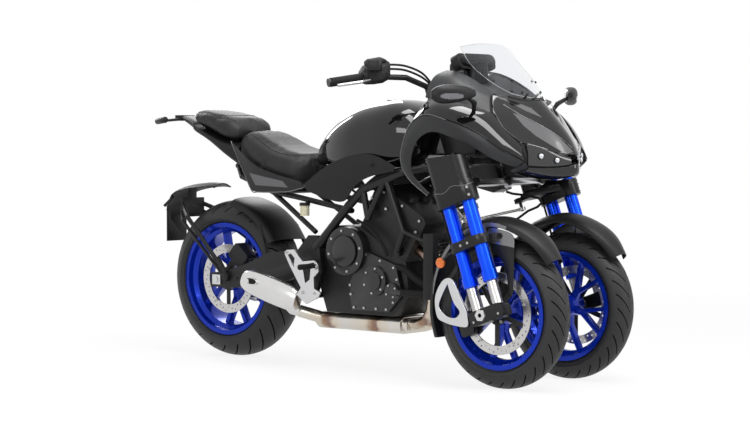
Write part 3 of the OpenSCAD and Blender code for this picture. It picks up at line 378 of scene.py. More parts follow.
def place_group(tree, group, **values):
    node = tree.nodes.new("ShaderNodeGroup")
    node.node_tree = group
    for key, value in values.items():
        node.inputs[key].default_value = value
    return node


def bump(tree, shader, height, strength, depth):
    node = tree.nodes.new("ShaderNodeBump")
    node.inputs["Strength"].default_value = strength
    node.inputs["Distance"].default_value = depth
    tree.links.new(height, node.inputs["Height"])
    tree.links.new(node.outputs["Normal"], shader.inputs["Normal"])


def finish(name, colour, rough, metal=0.0, tone=0.25, drift=0.12, size=9.0, grain=500.0, cells=0.4,
           depth=0.0001, coat=0.0, gloss=0.5):
    """One painted, moulded or cast finish: mottled colour and gloss over a fine grain."""
    material = bpy.data.materials.new(name)
    material.use_nodes = True
    tree = material.node_tree
    shader = tree.nodes["Principled BSDF"]
    shader.inputs["Metallic"].default_value = metal
    shader.inputs["Specular IOR Level"].default_value = gloss
    shader.inputs["Coat Weight"].default_value = coat
    shader.inputs["Coat Roughness"].default_value = 0.04
    mottle = place_group(tree, MOTTLE, Colour=(*colour, 1), Tone=tone, Rough=rough, Drift=drift, Size=size)
    tree.links.new(mottle.outputs["Colour"], shader.inputs["Base Color"])
    tree.links.new(mottle.outputs["Rough"], shader.inputs["Roughness"])
    skin = place_group(tree, GRAIN, Size=grain, Cells=cells)
    bump(tree, shader, skin.outputs["Height"], 0.35, depth)
    return material


GLOSS_BLACK = finish("gloss_black", (0.004, 0.004, 0.0045), 0.06, drift=0.03, grain=160, cells=0.0,
                     depth=0.00003, coat=0.4, gloss=0.3)
MATTE_BLACK = finish("matte_black", (0.009, 0.009, 0.0095), 0.45, grain=1500, depth=0.00012, gloss=0.25)
MATTE_GREY = finish("matte_grey", (0.022, 0.0225, 0.024), 0.4, grain=1600, depth=0.0001, gloss=0.3)
# satin grey for real trim lines, also laid on as painted highlights on the arch edge, the nose ridge and the
# mudguard stay
SATIN_TRIM_AND_HIGHLIGHT = finish("satin_trim_and_highlight", (0.17, 0.17, 0.175), 0.3, metal=0.6, grain=900, depth=0.00003)
FRAME_BLACK = finish("frame_black", (0.009, 0.009, 0.0095), 0.34, grain=700, cells=0.1, depth=0.00015,
                     gloss=0.3)
SHROUD_BLACK = finish("shroud_black", (0.008, 0.008, 0.0085), 0.28, grain=1200, depth=0.00008, gloss=0.3)
CAST_DARK = finish("cast_dark", (0.017, 0.017, 0.018), 0.42, metal=0.2, tone=0.5, grain=900, depth=0.0003,
                   gloss=0.3)
RUBBER = finish("rubber", (0.008, 0.008, 0.008), 0.7, grain=1200, depth=0.0002, gloss=0.2)
TYRE = finish("tyre_rubber", (0.019, 0.019, 0.019), 0.5, tone=0.5, size=20, grain=900, depth=0.0003,
              gloss=0.35)
# darker rubber for the groove floors and walls: painted shade in the grooves
GROOVE_SHADE = finish("groove_shade_rubber", (0.003, 0.003, 0.003), 0.9, tone=0.3, size=20, grain=900, depth=0.0002,
                gloss=0.05)
BLUE_PAINT = finish("blue_paint", (0.001, 0.026, 0.40), 0.24, metal=0.5, tone=0.15, grain=700, cells=0.1,
                    depth=0.00005, coat=0.15, gloss=0.25)
BLUE_ANODISED = finish("blue_anodised", (0.004, 0.075, 0.9), 0.2, metal=0.8, tone=0.1, grain=2500, cells=0.0,
                       depth=0.00002)
SILVER = finish("silver_cast", (0.62, 0.62, 0.63), 0.3, metal=1.0, tone=0.15, grain=700, depth=0.00012)
STEEL = finish("steel", (0.5, 0.49, 0.48), 0.28, metal=1.0, tone=0.2, grain=2200, cells=0.1, depth=0.00004)
SEAT_COVER = finish("seat_cover", (0.013, 0.013, 0.0135), 0.55, tone=0.3, grain=650, cells=1.0, depth=0.0005,
                    gloss=0.35)
RESERVOIR = finish("reservoir_cup", (0.66, 0.62, 0.44), 0.35, tone=0.1, grain=300, depth=0.00005)
RED_LAMP = finish("red_lens", (0.35, 0.005, 0.005), 0.12, tone=0.1, grain=250, cells=1.0, depth=0.0003,
                  coat=0.5)
AMBER = finish("amber_lens", (0.75, 0.16, 0.01), 0.15, tone=0.1, grain=300, cells=1.0, depth=0.0003,
               coat=0.4)


def make_clear():
    material = bpy.data.materials.new("clear_sheet")
    material.use_nodes = True
    tree = material.node_tree
    shader = tree.nodes["Principled BSDF"]
    shader.inputs["Base Color"].default_value = (0.86, 0.88, 0.9, 1)
    shader.inputs["Transmission Weight"].default_value = 1.0
    shader.inputs["IOR"].default_value = 1.2
    mottle = place_group(tree, MOTTLE, Rough=0.02, Drift=0.02, Size=6.0)
    tree.links.new(mottle.outputs["Rough"], shader.inputs["Roughness"])
    return material


def make_disc_steel(name, centre):
    material = finish(name, (0.56, 0.55, 0.54), 0.3, metal=1.0, tone=0.2)
    tree = material.node_tree
    shader = tree.nodes["Principled BSDF"]
    lines = place_group(tree, TURNED, Centre=centre, Lines=4200.0)
    bump(tree, shader, lines.outputs["Height"], 0.25, 0.00004)
    return material


def make_heated_steel():
    """Header steel, tinted straw and brown in bands along its length."""
    material = finish("heated_steel", (0.6, 0.57, 0.52), 0.3, metal=1.0, tone=0.3, drift=0.2)
    tree = material.node_tree
    shader = tree.nodes["Principled BSDF"]
    place = object_place(tree)
    parts = split(tree, place)
    cloud = noise(tree, place, 18.0, 4.0)
    along = calc(tree, "ADD", parts["X"], calc(tree, "MULTIPLY", cloud, 0.12))
    ramp = tree.nodes.new("ShaderNodeValToRGB")
    tree.links.new(calc(tree, "FRACT", calc(tree, "MULTIPLY", along, 4.2)), ramp.inputs["Fac"])
    tints = [(0.0, (0.62, 0.6, 0.57)), (0.45, (0.6, 0.54, 0.45)), (0.62, (0.3, 0.19, 0.12)),
             (0.7, (0.24, 0.16, 0.14)), (0.8, (0.6, 0.52, 0.42)), (1.0, (0.62, 0.6, 0.57))]
    elements = ramp.color_ramp.elements
    while len(elements) < len(tints):
        elements.new(0.5)
    for element, (at, colour) in zip(elements, tints):
        element.position = at
        element.color = (*colour, 1)
    tree.links.new(ramp.outputs["Color"], shader.inputs["Base Color"])
    return material


CLEAR = make_clear()
HEATED = make_heated_steel()


def mix_colour(tree, factor, a, b):
    node = tree.nodes.new("ShaderNodeMixRGB")
    tree.links.new(factor, node.inputs["Fac"])
    for socket, value in zip((node.inputs["Color1"], node.inputs["Color2"]), (a, b)):
        if isinstance(value, tuple):
            socket.default_value = value
        else:
            tree.links.new(value, socket)
    return node.outputs["Color"]


# painted highlights on the nose: lighter grey facets on the gloss black, by sideways place and height
NOSE_HIGHLIGHTS = [
    [(0.1495, 1.0520), (0.1229, 1.0470), (0.0608, 1.0114), (0.0483, 0.9769), (0.0882, 1.0010)],
    [(0.1440, 0.9937), (0.1202, 0.9852), (0.0586, 0.9383), (0.0136, 0.8534), (0.0432, 0.8442),
     (0.1118, 0.9091), (0.1350, 0.9480)]]
# satin field on a side panel, by place ahead and height
SIDE_FIELD = [(-0.498, 0.759), (-0.457, 0.711), (-0.268, 0.705), (-0.299, 0.730)]


def inside_outline(tree, across, up, corners):
    """1 inside a convex outline whose corners run against the clock, 0 outside it."""
    mask = None
    for (a0, b0), (a1, b1) in zip(corners, corners[1:] + corners[:1]):
        rise = calc(tree, "MULTIPLY", calc(tree, "SUBTRACT", up, b0), a1 - a0)
        shift = calc(tree, "MULTIPLY", calc(tree, "SUBTRACT", across, a0), b1 - b0)
        inside = calc(tree, "GREATER_THAN", calc(tree, "SUBTRACT", rise, shift), 0.0)
        mask = inside if mask is None else calc(tree, "MULTIPLY", mask, inside)
    return mask


def add_field(material, mask, colour, rougher=0.0):
    """Lays a second colour over a finish where a mask is 1, and may dull it there."""
    tree = material.node_tree
    inputs = tree.nodes["Principled BSDF"].inputs
    base = inputs["Base Color"].links[0].from_socket
    rough = inputs["Roughness"].links[0].from_socket
    tree.links.new(mix_colour(tree, mask, base, (*colour, 1)), inputs["Base Color"])
    if rougher:
        tree.links.new(calc(tree, "ADD", rough, calc(tree, "MULTIPLY", mask, rougher)), inputs["Roughness"])
    return material


def make_nose_paint():
    """Gloss black with painted highlights: lighter, duller grey facets on both cheeks."""
    material = finish("nose_paint", (0.004, 0.004, 0.0045), 0.06, drift=0.03, grain=160, cells=0.0,
                      depth=0.00003, coat=0.5, gloss=0.35)
    tree = material.node_tree
    parts = split(tree, object_place(tree))
    aside = calc(tree, "ABSOLUTE", parts["Y"])
    # grey facets laid over the gloss black as painted highlights
    masks = [inside_outline(tree, aside, parts["Z"], corners) for corners in NOSE_HIGHLIGHTS]
    return add_field(material, calc(tree, "MAXIMUM", *masks), (0.085, 0.085, 0.088), 0.25)


def make_side_paint():
    """Matte black with a satin grey field on the lower rear of each side panel."""
    material = finish("side_paint", (0.013, 0.013, 0.014), 0.5, grain=1500, depth=0.00012, gloss=0.3)
    tree = material.node_tree
    parts = split(tree, object_place(tree))
    mask = inside_outline(tree, parts["X"], parts["Z"], SIDE_FIELD)
    return add_field(material, mask, (0.13, 0.13, 0.135))


MIRROR_GLASS = finish("mirror_glass", (0.75, 0.76, 0.78), 0.03, metal=1.0, tone=0.05, drift=0.02, grain=60,
                      cells=0.0, depth=0.00001)
SCREEN_GLASS = finish("screen_glass", (0.02, 0.023, 0.026), 0.08, tone=0.3, drift=0.04, grain=80, cells=0.0,
                      depth=0.00001)
SIGNAL_LENS = finish("signal_lens", (0.13, 0.13, 0.14), 0.12, metal=0.3, tone=0.5, size=60, grain=260,
                     cells=1.0, depth=0.0004, coat=0.8)
SMOKED = finish("smoked_lens", (0.010, 0.010, 0.011), 0.06, drift=0.03, grain=120, cells=0.0, depth=0.00002,
                coat=0.6)
PROJECTOR = finish("projector_lens", (0.55, 0.57, 0.6), 0.08, metal=0.35, tone=0.2, grain=300, cells=0.6,
                   depth=0.0001, coat=0.8)
LIGHT_GUIDE = finish("light_guide", (0.62, 0.63, 0.65), 0.2, tone=0.15, grain=400, cells=0.3, depth=0.00005,
                     coat=0.3)
# grey of a painted highlight on the upper part of each fork shield
SHIELD_HIGHLIGHT = finish("shield_painted_highlight", (0.20, 0.20, 0.205), 0.26, metal=0.75, tone=0.25, size=5.0, grain=900,
                     depth=0.00003)
BRUSHED = finish("brushed_silver", (0.66, 0.655, 0.65), 0.24, metal=1.0, tone=0.2, drift=0.2, size=14,
                 grain=1800, cells=0.1, depth=0.00004)
COVER_GREY = finish("cover_grey", (0.012, 0.012, 0.013), 0.3, metal=0.2, tone=0.35, grain=900, depth=0.00012,
                    coat=0.2)

# Camera and studio

# fitted to the photo
CAMERA_AT = Vector((5.28375, -6.30929, 0.94578))
CAMERA_YAW = math.radians(129.823)
CAMERA_PITCH = math.radians(-2.308)
CAMERA_LENS = 101.07


def make_camera():
    forward = Vector((math.cos(CAMERA_PITCH) * math.cos(CAMERA_YAW),
                      math.cos(CAMERA_PITCH) * math.sin(CAMERA_YAW), math.sin(CAMERA_PITCH)))
    bpy.ops.object.camera_add(location=CAMERA_AT, rotation=forward.to_track_quat("-Z", "Y").to_euler())
    camera = bpy.context.active_object
    camera.data.lens = CAMERA_LENS
    camera.data.sensor_width = 36
    bpy.context.scene.camera = camera


def backdrop_light(tree):
    """1 for rays that show the backdrop: camera, mirror and glass rays."""
    path = tree.nodes.new("ShaderNodeLightPath")
    seen = calc(tree, "ADD", path.outputs["Is Camera Ray"], path.outputs["Is Glossy Ray"])
    return calc(tree, "MINIMUM", calc(tree, "ADD", seen, path.outputs["Is Transmission Ray"]), 1.0)


def make_floor():
    """Pale paper that keeps the shadow near the trike and fades to white further out."""
    floor = start(bpy.ops.mesh.primitive_plane_add, size=60)
    floor.name = "studio_floor"
    material = bpy.data.materials.new("studio_floor")
    material.use_nodes = True
    tree = material.node_tree
    tree.nodes.clear()
    output = tree.nodes.new("ShaderNodeOutputMaterial")
    paper = tree.nodes.new("ShaderNodeBsdfDiffuse")
    paper.inputs["Color"].default_value = (0.9, 0.9, 0.9, 1)
    glow = tree.nodes.new("ShaderNodeEmission")
    mix = tree.nodes.new("ShaderNodeMixShader")
    reach = tree.nodes.new("ShaderNodeVectorMath")
    reach.operation = "LENGTH"
    tree.links.new(object_place(tree), reach.inputs[0])
    fade = tree.nodes.new("ShaderNodeMapRange")
    tree.links.new(reach.outputs["Value"], fade.inputs["Value"])
    for socket, value in zip(("From Min", "From Max", "To Min", "To Max"), (1.2, 4.5, 0.86, 1.0)):
        fade.inputs[socket].default_value = value
    tree.links.new(calc(tree, "MULTIPLY", backdrop_light(tree), fade.outputs["Result"]), mix.inputs["Fac"])
    tree.links.new(paper.outputs[0], mix.inputs[1])
    tree.links.new(glow.outputs[0], mix.inputs[2])
    tree.links.new(mix.outputs[0], output.inputs["Surface"])
    floor.data.materials.append(material)


def make_world():
    """White where it is seen, a softer light on the trike."""
    world = bpy.data.worlds.new("studio")
    world.use_nodes = True
    tree = world.node_tree
    tree.nodes.clear()
    output = tree.nodes.new("ShaderNodeOutputWorld")
    white = tree.nodes.new("ShaderNodeBackground")
    white.inputs["Color"].default_value = (1, 1, 1, 1)
    soft = tree.nodes.new("ShaderNodeBackground")
    soft.inputs["Strength"].default_value = 0.45
    mix = tree.nodes.new("ShaderNodeMixShader")
    tree.links.new(backdrop_light(tree), mix.inputs["Fac"])
    tree.links.new(soft.outputs[0], mix.inputs[1])
    tree.links.new(white.outputs[0], mix.inputs[2])
    tree.links.new(mix.outputs[0], output.inputs["Surface"])
    bpy.context.scene.world = world


# name, place, aimed at, width, length, watts
SOFTBOXES = [("softbox_top", (1.9, -0.75, 3.2), (0.6, -0.75, 0.9), 1.2, 2.6, 82),
             ("softbox_crown", (0.35, 0.1, 3.3), (0.25, 0.1, 0.9), 1.2, 0.8, 26),
             ("softbox_right", (1.2, -4.2, 2.2), (0.1, 0, 0.7), 2.4, 0.9, 44),
             ("softbox_front", (4.6, 0.8, 2.2), (0.8, 0, 0.7), 0.9, 2.2, 36),
             ("softbox_rear", (-2.8, 2.7, 2.9), (-0.1, 0, 0.9), 1.2, 2.4, 46),
             ("softbox_tail", (-3.6, 0.9, 2.3), (0, -0.1, 0.9), 0.5, 1.6, 36)]


def make_lights():
    for name, place, aim, width, length, watts in SOFTBOXES:
        turn = (Vector(aim) - Vector(place)).to_track_quat("-Z", "Y").to_euler()
        bpy.ops.object.light_add(type="AREA", location=place, rotation=turn)
        light = bpy.context.active_object
        light.name = name
        light.data.shape = "RECTANGLE"
        light.data.size = width
        light.data.size_y = length
        light.data.energy = watts


make_camera()
make_floor()
make_world()
make_lights()
bpy.context.scene.view_settings.view_transform = "Standard"

# Pieces: shells, soft goods, running gear and small fittings


def flow(points, steps=6):
    """Points of a smooth line through the given ones."""
    knots = [Vector(p) for p in points]
    last = len(knots) - 1
    line = []
    for i in range(last):
        a, b, c, d = knots[max(i - 1, 0)], knots[i], knots[i + 1], knots[min(i + 2, last)]
        for k in range(steps):
            t = k / steps
            line.append(0.5 * (2 * b + (c - a) * t + (2 * a - 5 * b + 4 * c - d) * t * t
                               + (3 * b - a - 3 * c + d) * t ** 3))
    line.append(knots[last])
    return line


def curve_mesh(name, lines, closed, **values):
    """A mesh object from a curve's settings and the lines it runs along."""
    data = bpy.data.curves.new(name, "CURVE")
    for key, value in values.items():
        setattr(data, key, value)
    for line in lines:
        spline = data.splines.new("POLY")
        spline.points.add(len(line) - 1)
        spline.use_cyclic_u = closed
        for point, place in zip(spline.points, line):
            point.co = (*place, 1)
    obj = bpy.data.objects.new(name, data)
    bpy.context.collection.objects.link(obj)
    only(obj)
    bpy.ops.object.convert(target="MESH")
    return bpy.context.active_object


def tube(name, points, radius, body, slot, material, steps=6):
    """A round trim, cable or piping through points."""
    obj = curve_mesh(name, [flow(points, steps)], False, dimensions="3D", bevel_depth=radius,
                     bevel_resolution=2, use_fill_caps=True)
    clean(obj, 0.00001)
    smooth(obj, 60)
    return finish_piece(obj, name, body, slot, material)


def cast_plate(name, outlines, y0, y1, body, slot, material, edge=0.002):
    """A flat casting with rounded edges: the first outline is its rim, the rest are its openings."""
    lines = [flow([(*corner, 0) for corner in (*outline, outline[0])], 4)[:-1] for outline in outlines]
    obj = curve_mesh(name, lines, True, dimensions="2D", fill_mode="BOTH", extrude=abs(y1 - y0) / 2 - edge,
                     bevel_depth=edge, bevel_resolution=2, offset=-edge)
    obj.matrix_world = Matrix.Translation((0, (y0 + y1) / 2, 0)) @ Matrix.Rotation(math.pi / 2, 4, "X")
    settle(obj)
    clean(obj, 0.00001)
    smooth(obj, 40)
    return finish_piece(obj, name, body, slot, material)


def panel(name, rows, thick, body, slot, material):
    """A moulded panel: a grid drawn to rows of points, smoothed and thickened."""
    obj = start(bpy.ops.mesh.primitive_grid_add, x_subdivisions=len(rows[0]) - 1,
                y_subdivisions=len(rows) - 1, size=1)
    for vertex, place in zip(obj.data.vertices, [p for row in rows for p in row]):
        vertex.co = place
    modify(obj, "SUBSURF", levels=2, render_levels=2)
    modify(obj, "SOLIDIFY", thickness=thick, offset=0)
    clean(obj)
    smooth(obj, 40)
    return finish_piece(obj, name, body, slot, material)


def loft(name, rings, body, slot, material, edge):
    """A closed body through rings of points, all of one count."""
    count = len(rings[0])
    obj = start(bpy.ops.mesh.primitive_circle_add, vertices=count, radius=1, fill_type="NGON")
    edit(obj)
    for ring in rings[1:]:
        bpy.ops.mesh.extrude_region_move(TRANSFORM_OT_translate={"value": (0, 0, 1)})
    leave()
    for vertex in obj.data.vertices:
        turn = math.atan2(vertex.co.y, vertex.co.x) / (2 * math.pi) * count
        vertex.co = rings[round(vertex.co.z)][round(turn) % count]
    clean(obj)
    break_edges(obj, edge, 25)
    smooth(obj, 35)
    return finish_piece(obj, name, body, slot, material)


def start_cylinder(radius, depth, sides):
    """A cylinder standing on the origin."""
    obj = start(bpy.ops.mesh.primitive_cylinder_add, vertices=sides, radius=radius, depth=depth,
                location=(0, 0, depth / 2))
    settle(obj)
    return obj


BOLT_WIDTH = 0.010


def make_bolt():
    """A socket bolt standing on the origin, modelled once and copied."""
    obj = start_cylinder(BOLT_WIDTH / 2, 0.004, 12)
    pick_faces(obj, lambda at, n: n.z > 0.9)
    bpy.ops.mesh.inset(thickness=0.0022)
    bpy.ops.mesh.extrude_region_move(TRANSFORM_OT_translate={"value": (0, 0, -0.0022)})
    leave()
    break_edges(obj, 0.0004, 60, 1)
    smooth(obj, 40)
    return obj


BOLT = make_bolt()


def bolts(name, body, slot, material, places):
    """Copies of the bolt, each given by its foot, the way it points and its width."""
    obj = joined([copied(BOLT, facing(place, way) @ Matrix.Scale(width / BOLT_WIDTH, 4))
                  for place, way, width in places])
    settle(obj)
    return finish_piece(obj, name, body, slot, material)


def round_places(centre, radius, count, way, width, first=0.0):
    """Places of bolts on a circle round a sideways axle, the first at an angle."""
    places = []
    for i in range(count):
        a = math.radians(first + 360 * i / count)
        places.append((Vector(centre) + Vector((radius * math.cos(a), 0, radius * math.sin(a))), way, width))
    return places


def disc_piece(name, centre, way, radius, depth, body, slot, material, inset, sink, sides=32):
    """A round button, lens or cap: a cylinder with its face inset and sunk or raised."""
    obj = start_cylinder(radius, depth, sides)
    pick_faces(obj, lambda at, n: n.z > 0.9)
    bpy.ops.mesh.inset(thickness=inset)
    bpy.ops.transform.translate(value=(0, 0, sink))
    leave()
    break_edges(obj, 0.0006, 30)
    obj.matrix_world = facing(centre, way)
    settle(obj)
    smooth(obj, 40)
    return finish_piece(obj, name, body, slot, material)


def land(obj, place, way):
    """Where a ray from a place meets a piece."""
    hit, at, normal, index = obj.ray_cast(Vector(place), Vector(way))
    return at if hit else None


# Tyres: a section spun round the axle, its grid slanted, then grooves sunk into it


def tyre_section(top, crown, half, seat, seat_half, rows):
    """Radius and sideways place of the tyre's outer line, from one bead to the other."""
    wide = top - crown * 0.78
    middle_r = top - crown
    reach = min(math.asin(min(half / crown, 1.0)), math.radians(78.5))
    arc = [(middle_r + crown * math.cos(a), crown * math.sin(a))
           for a in (reach * (2 * i / rows - 1) for i in range(rows + 1))]
    shoulder_r, shoulder_y = seat + 0.015, seat_half + 0.0027
    low = [(seat, seat_half), (shoulder_r, shoulder_y)]
    for share, lift in ((0.3, 0.0), (0.36, 0.0009), (0.5, 0.0009), (0.56, 0.0), (0.8, 0.0)):
        low.append((shoulder_r + share * (wide - shoulder_r),
                    shoulder_y + share * (arc[-1][1] - shoulder_y) + lift))
    return [(r, -y) for r, y in low] + arc + [(r, y) for r, y in reversed(low)]


GROOVE_DEPTH = 0.0045


def make_tyre(node, axle, section, steps, period, reach, slant):
    """reach: the sideways band of the grooves; slant: how far a groove turns per metre across."""
    obj = start(bpy.ops.mesh.primitive_plane_add, size=0.01)
    edit(obj)
    bpy.ops.mesh.merge(type="CENTER")
    first = Vector((axle.x + section[0][0], axle.y + section[0][1], axle.z))
    bpy.ops.transform.translate(value=first)
    for (r0, y0), (r1, y1) in zip(section, section[1:] + section[:1]):
        bpy.ops.mesh.extrude_region_move(TRANSFORM_OT_translate={"value": (r1 - r0, y1 - y0, 0)})
    bpy.ops.mesh.select_all(action="SELECT")
    bpy.ops.mesh.spin(steps=steps, angle=2 * math.pi, center=axle, axis=(0, 1, 0))
    bpy.ops.mesh.select_all(action="SELECT")
    bpy.ops.mesh.remove_doubles(threshold=0.00005)
    bpy.ops.mesh.normals_make_consistent(inside=False)
    leave()

    def turn(y):
        return slant * min(abs(y - axle.y), reach[1] + 0.004)

    for vertex in obj.data.vertices:
        a = turn(vertex.co.y)
        x, z = vertex.co.x - axle.x, vertex.co.z - axle.z
        vertex.co.x = axle.x + x * math.cos(a) - z * math.sin(a)
        vertex.co.z = axle.z + x * math.sin(a) + z * math.cos(a)
    step = 2 * math.pi / steps
    crown = max(r for r, y in section)

    def groove(at, n):
        y = at.y - axle.y
        if radius_from(axle, at) < crown * 0.8 or not reach[0] < abs(y) < reach[1]:
            return False
        column = int((math.atan2(at.z - axle.z, at.x - axle.x) - turn(at.y)) / step + 10 * steps)
        return column % period == (0 if y > 0 else period // 2)

    pick_faces(obj, groove)
    bpy.ops.mesh.extrude_region_shrink_fatten(TRANSFORM_OT_shrink_fatten={"value": -GROOVE_DEPTH})
    leave()
    smooth(obj, 40)
    finish_piece(obj, node + "_treaded", body_of(node), "tyre", TYRE, node)
    # groove faces painted darker as painted shade
    obj.data.materials.append(GROOVE_SHADE)
    for face in obj.data.polygons:
        if face.select:
            face.material_index = 1


# Seats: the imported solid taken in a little, swollen by cloth under pressure, then piped


def make_pad(node, take_in, cap):
    """take_in: how far the solid is shrunk before it swells; cap: how far a point may then move."""
    obj = copy_of(node)
    edit(obj)
    bpy.ops.mesh.normals_make_consistent(inside=False)
    bpy.ops.transform.shrink_fatten(value=-take_in)
    leave()
    modify(obj, "REMESH", mode="VOXEL", voxel_size=0.006)
    rest = [v.co.copy() for v in obj.data.vertices]
    only(obj)
    mod = obj.modifiers.new("cloth", "CLOTH")
    mod.settings.use_pressure = True
    mod.settings.uniform_pressure_force = 4.0
    mod.settings.effector_weights.gravity = 0.0
    mod.settings.quality = 5
    scene = bpy.context.scene
    for step in range(1, 21):
        scene.frame_set(step)
    bpy.ops.object.modifier_apply(modifier=mod.name)
    scene.frame_set(1)
    for vertex, place in zip(obj.data.vertices, rest):
        shift = vertex.co - place
        if shift.length > cap:
            vertex.co = place + shift * (cap / shift.length)
    modify(obj, "SMOOTH", factor=0.5, iterations=6)
    modify(obj, "SUBSURF", levels=1, render_levels=1)
    smooth(obj, 180)
    finish_piece(obj, node + "_cover", body_of(node), "seat_cover", SEAT_COVER, node)
    return obj


def seam(name, obj, points, radius):
    """Piping that lies on a cover, along points dropped onto it."""
    line = [land(obj, p, (0, 0, -1)) for p in flow(points, 8)]
    tube(name, [p for p in line if p], radius, obj["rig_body"], "seat_cover", SEAT_COVER, steps=1)


# Chain: a wide and a slim link, copied in turn along the run


def link_round(radius, depth, x=0.0):
    obj = start(bpy.ops.mesh.primitive_cylinder_add, vertices=8, radius=radius, depth=depth,
                rotation=(math.pi / 2, 0, 0), location=(x, 0, 0))
    settle(obj)
    return obj


def make_link(pitch, width, gap, height, radius):
    """Two side plates and a roller, a few dozen faces."""
    pieces = []
    for y in (-gap / 2, gap / 2):
        plate = link_round(height / 2, width)
        for vertex in plate.data.vertices:
            if abs(vertex.co.x) > 0.0001:
                vertex.co.x += math.copysign(pitch / 2, vertex.co.x)
            vertex.co.y += y
        pieces.append(plate)
    pieces.append(link_round(radius, gap, -pitch / 2))
    return joined(pieces)


def outward(a):
    return Vector((math.cos(a), math.sin(a)))


def chain_run(front, front_r, rear, rear_r, pitch):
    """Places and headings of the links round both chain wheels, and the pitch that fits the run."""
    way = front - rear
    heading = math.atan2(way.y, way.x)
    lean = math.asin((rear_r - front_r) / way.length)
    straight = math.sqrt(way.length ** 2 - (rear_r - front_r) ** 2)
    front_arc = (math.pi - 2 * lean) * front_r
    rear_arc = (math.pi + 2 * lean) * rear_r
    total = 2 * straight + front_arc + rear_arc
    count = 2 * round(total / pitch / 2)
    upper = heading + math.pi / 2 - lean
    lower = heading - math.pi / 2 + lean
    places = []
    for i in range(count):
        run = i * total / count
        slide = 0.0
        if run < straight:
            a, slide, centre, radius = upper, run, rear, rear_r
        elif run < straight + front_arc:
            a, centre, radius = upper - (run - straight) / front_r, front, front_r
        elif run < 2 * straight + front_arc:
            a, slide, centre, radius = lower, run - straight - front_arc, front, front_r
        else:
            a, centre, radius = lower - (run - 2 * straight - front_arc) / rear_r, rear, rear_r
        turn = a - math.pi / 2
        places.append((centre + radius * outward(a) + slide * outward(turn), turn))
    return places, total / count


CHAIN_FRONT = Vector((-0.060, 0.402))  # centre of the front chain wheel, ahead and up
CHAIN_FRONT_R = 0.041
CHAIN_REAR_R = 0.0985
CHAIN_PITCH = 0.0159


def make_chain():
    y = middle("drive_chain").y
    rear = Vector((REAR_AXLE.x, REAR_AXLE.z))
    places, pitch = chain_run(CHAIN_FRONT, CHAIN_FRONT_R, rear, CHAIN_REAR_R, CHAIN_PITCH)
    slim, wide = [make_link(pitch, 0.0018, gap, 0.0112, 0.005) for gap in (0.0108, 0.0148)]
    chain = joined([copied(wide if i % 2 else slim,
                           Matrix.Translation((at.x, y, at.y)) @ Matrix.Rotation(-turn, 4, "Y"))
                    for i, (at, turn) in enumerate(places)])
    settle(chain)
    for source in (wide, slim):
        bpy.data.objects.remove(source)
    smooth(chain, 40)
    finish_piece(chain, "roller_chain", "chassis", "steel", STEEL, "drive_chain")


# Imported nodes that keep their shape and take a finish

PLAIN = {
    FRAME_BLACK: ["main_frame", "rear_subframe", "fairing_stay", "handlebar", "rear_shock"],
    BLUE_ANODISED: ["fork_tubes_left", "fork_tubes_right"],
    STEEL: ["tie_rod_left", "tie_rod_right"],
}
for material, names in PLAIN.items():
    for name in names:
        NODES[name].data.materials.clear()
        NODES[name].data.materials.append(material)
        smooth(NODES[name], 30)

# Wheels

FRONT_SECTION = tyre_section(FRONT_R, 0.060, 0.060, 0.1908, 0.0417, 22)
REAR_SECTION = tyre_section(REAR_R, 0.098, 0.095, 0.2163, 0.0717, 26)
for side, s in SIDES:
    make_tyre("tyre_front_" + side, FRONT_AXLE[side], FRONT_SECTION, 240, 8, (0.006, 0.050), 6.5)
make_tyre("tyre_rear", REAR_AXLE, REAR_SECTION, 240, 10, (0.008, 0.082), 4.5)


def make_wheel(rim, disc, axle, body, way, disc_in, hub_face, carrier_r):
    """Broken edges on the rim, a dark carrier on the disc, bolts through the carrier and the hub."""
    dressed(rim, "blue_paint", BLUE_PAINT, 0.0022, 3)
    rotor = copy_of(disc)
    smooth(rotor, 30)
    finish_piece(rotor, disc + "_finished", body, "steel", make_disc_steel(disc + "_steel", axle), disc)
    paint_faces(rotor, CAST_DARK, lambda at, n: radius_from(axle, at) < disc_in)
    face = Vector((axle.x, hub_face, axle.z))
    bolts(disc + "_bolts", body, "steel", STEEL, round_places(face, carrier_r, 5, way, 0.013, 18)
          + round_places(face, disc_in + 0.006, 5, way, 0.011, 18))


for side, s in SIDES:
    make_wheel("rim_front_" + side, "disc_front_" + side, FRONT_AXLE[side], "wheel_front_" + side,
               (0, s, 0), 0.117, s * 0.2503, 0.034)
make_wheel("rim_rear", "disc_rear", REAR_AXLE, "wheel_rear", (0, -1, 0), 0.107, -0.0633, 0.041)

# Forks

# cast hoop beside the caliper: outer and inner outlines, ahead and up
HOOP_OUT = [(0.697, 0.268), (0.690, 0.286), (0.667, 0.327), (0.640, 0.378), (0.617, 0.396), (0.585, 0.386),
            (0.557, 0.346), (0.548, 0.305), (0.560, 0.250), (0.594, 0.233), (0.640, 0.224), (0.697, 0.224)]
HOOP_IN = [(0.606, 0.374), (0.579, 0.327), (0.567, 0.290), (0.594, 0.262), (0.621, 0.252), (0.648, 0.255),
           (0.662, 0.276), (0.637, 0.304), (0.619, 0.340)]


# shield beside the mudguard, rows from its top to its tip, each from the rear to the front
SHIELD = [[(0.775, 0.277, 0.584), (0.815, 0.282, 0.583), (0.855, 0.281, 0.576), (0.893, 0.272, 0.564)],
          [(0.780, 0.277, 0.545), (0.820, 0.283, 0.543), (0.860, 0.282, 0.538), (0.893, 0.273, 0.530)],
          [(0.795, 0.277, 0.510), (0.830, 0.282, 0.508), (0.864, 0.281, 0.506), (0.893, 0.273, 0.500)],
          [(0.850, 0.278, 0.470), (0.864, 0.281, 0.470), (0.880, 0.280, 0.470), (0.893, 0.274, 0.468)],
          [(0.866, 0.278, 0.420), (0.875, 0.280, 0.420), (0.885, 0.279, 0.420), (0.893, 0.275, 0.420)],
          [(0.874, 0.278, 0.342), (0.879, 0.279, 0.342), (0.884, 0.278, 0.342), (0.889, 0.276, 0.342)]]


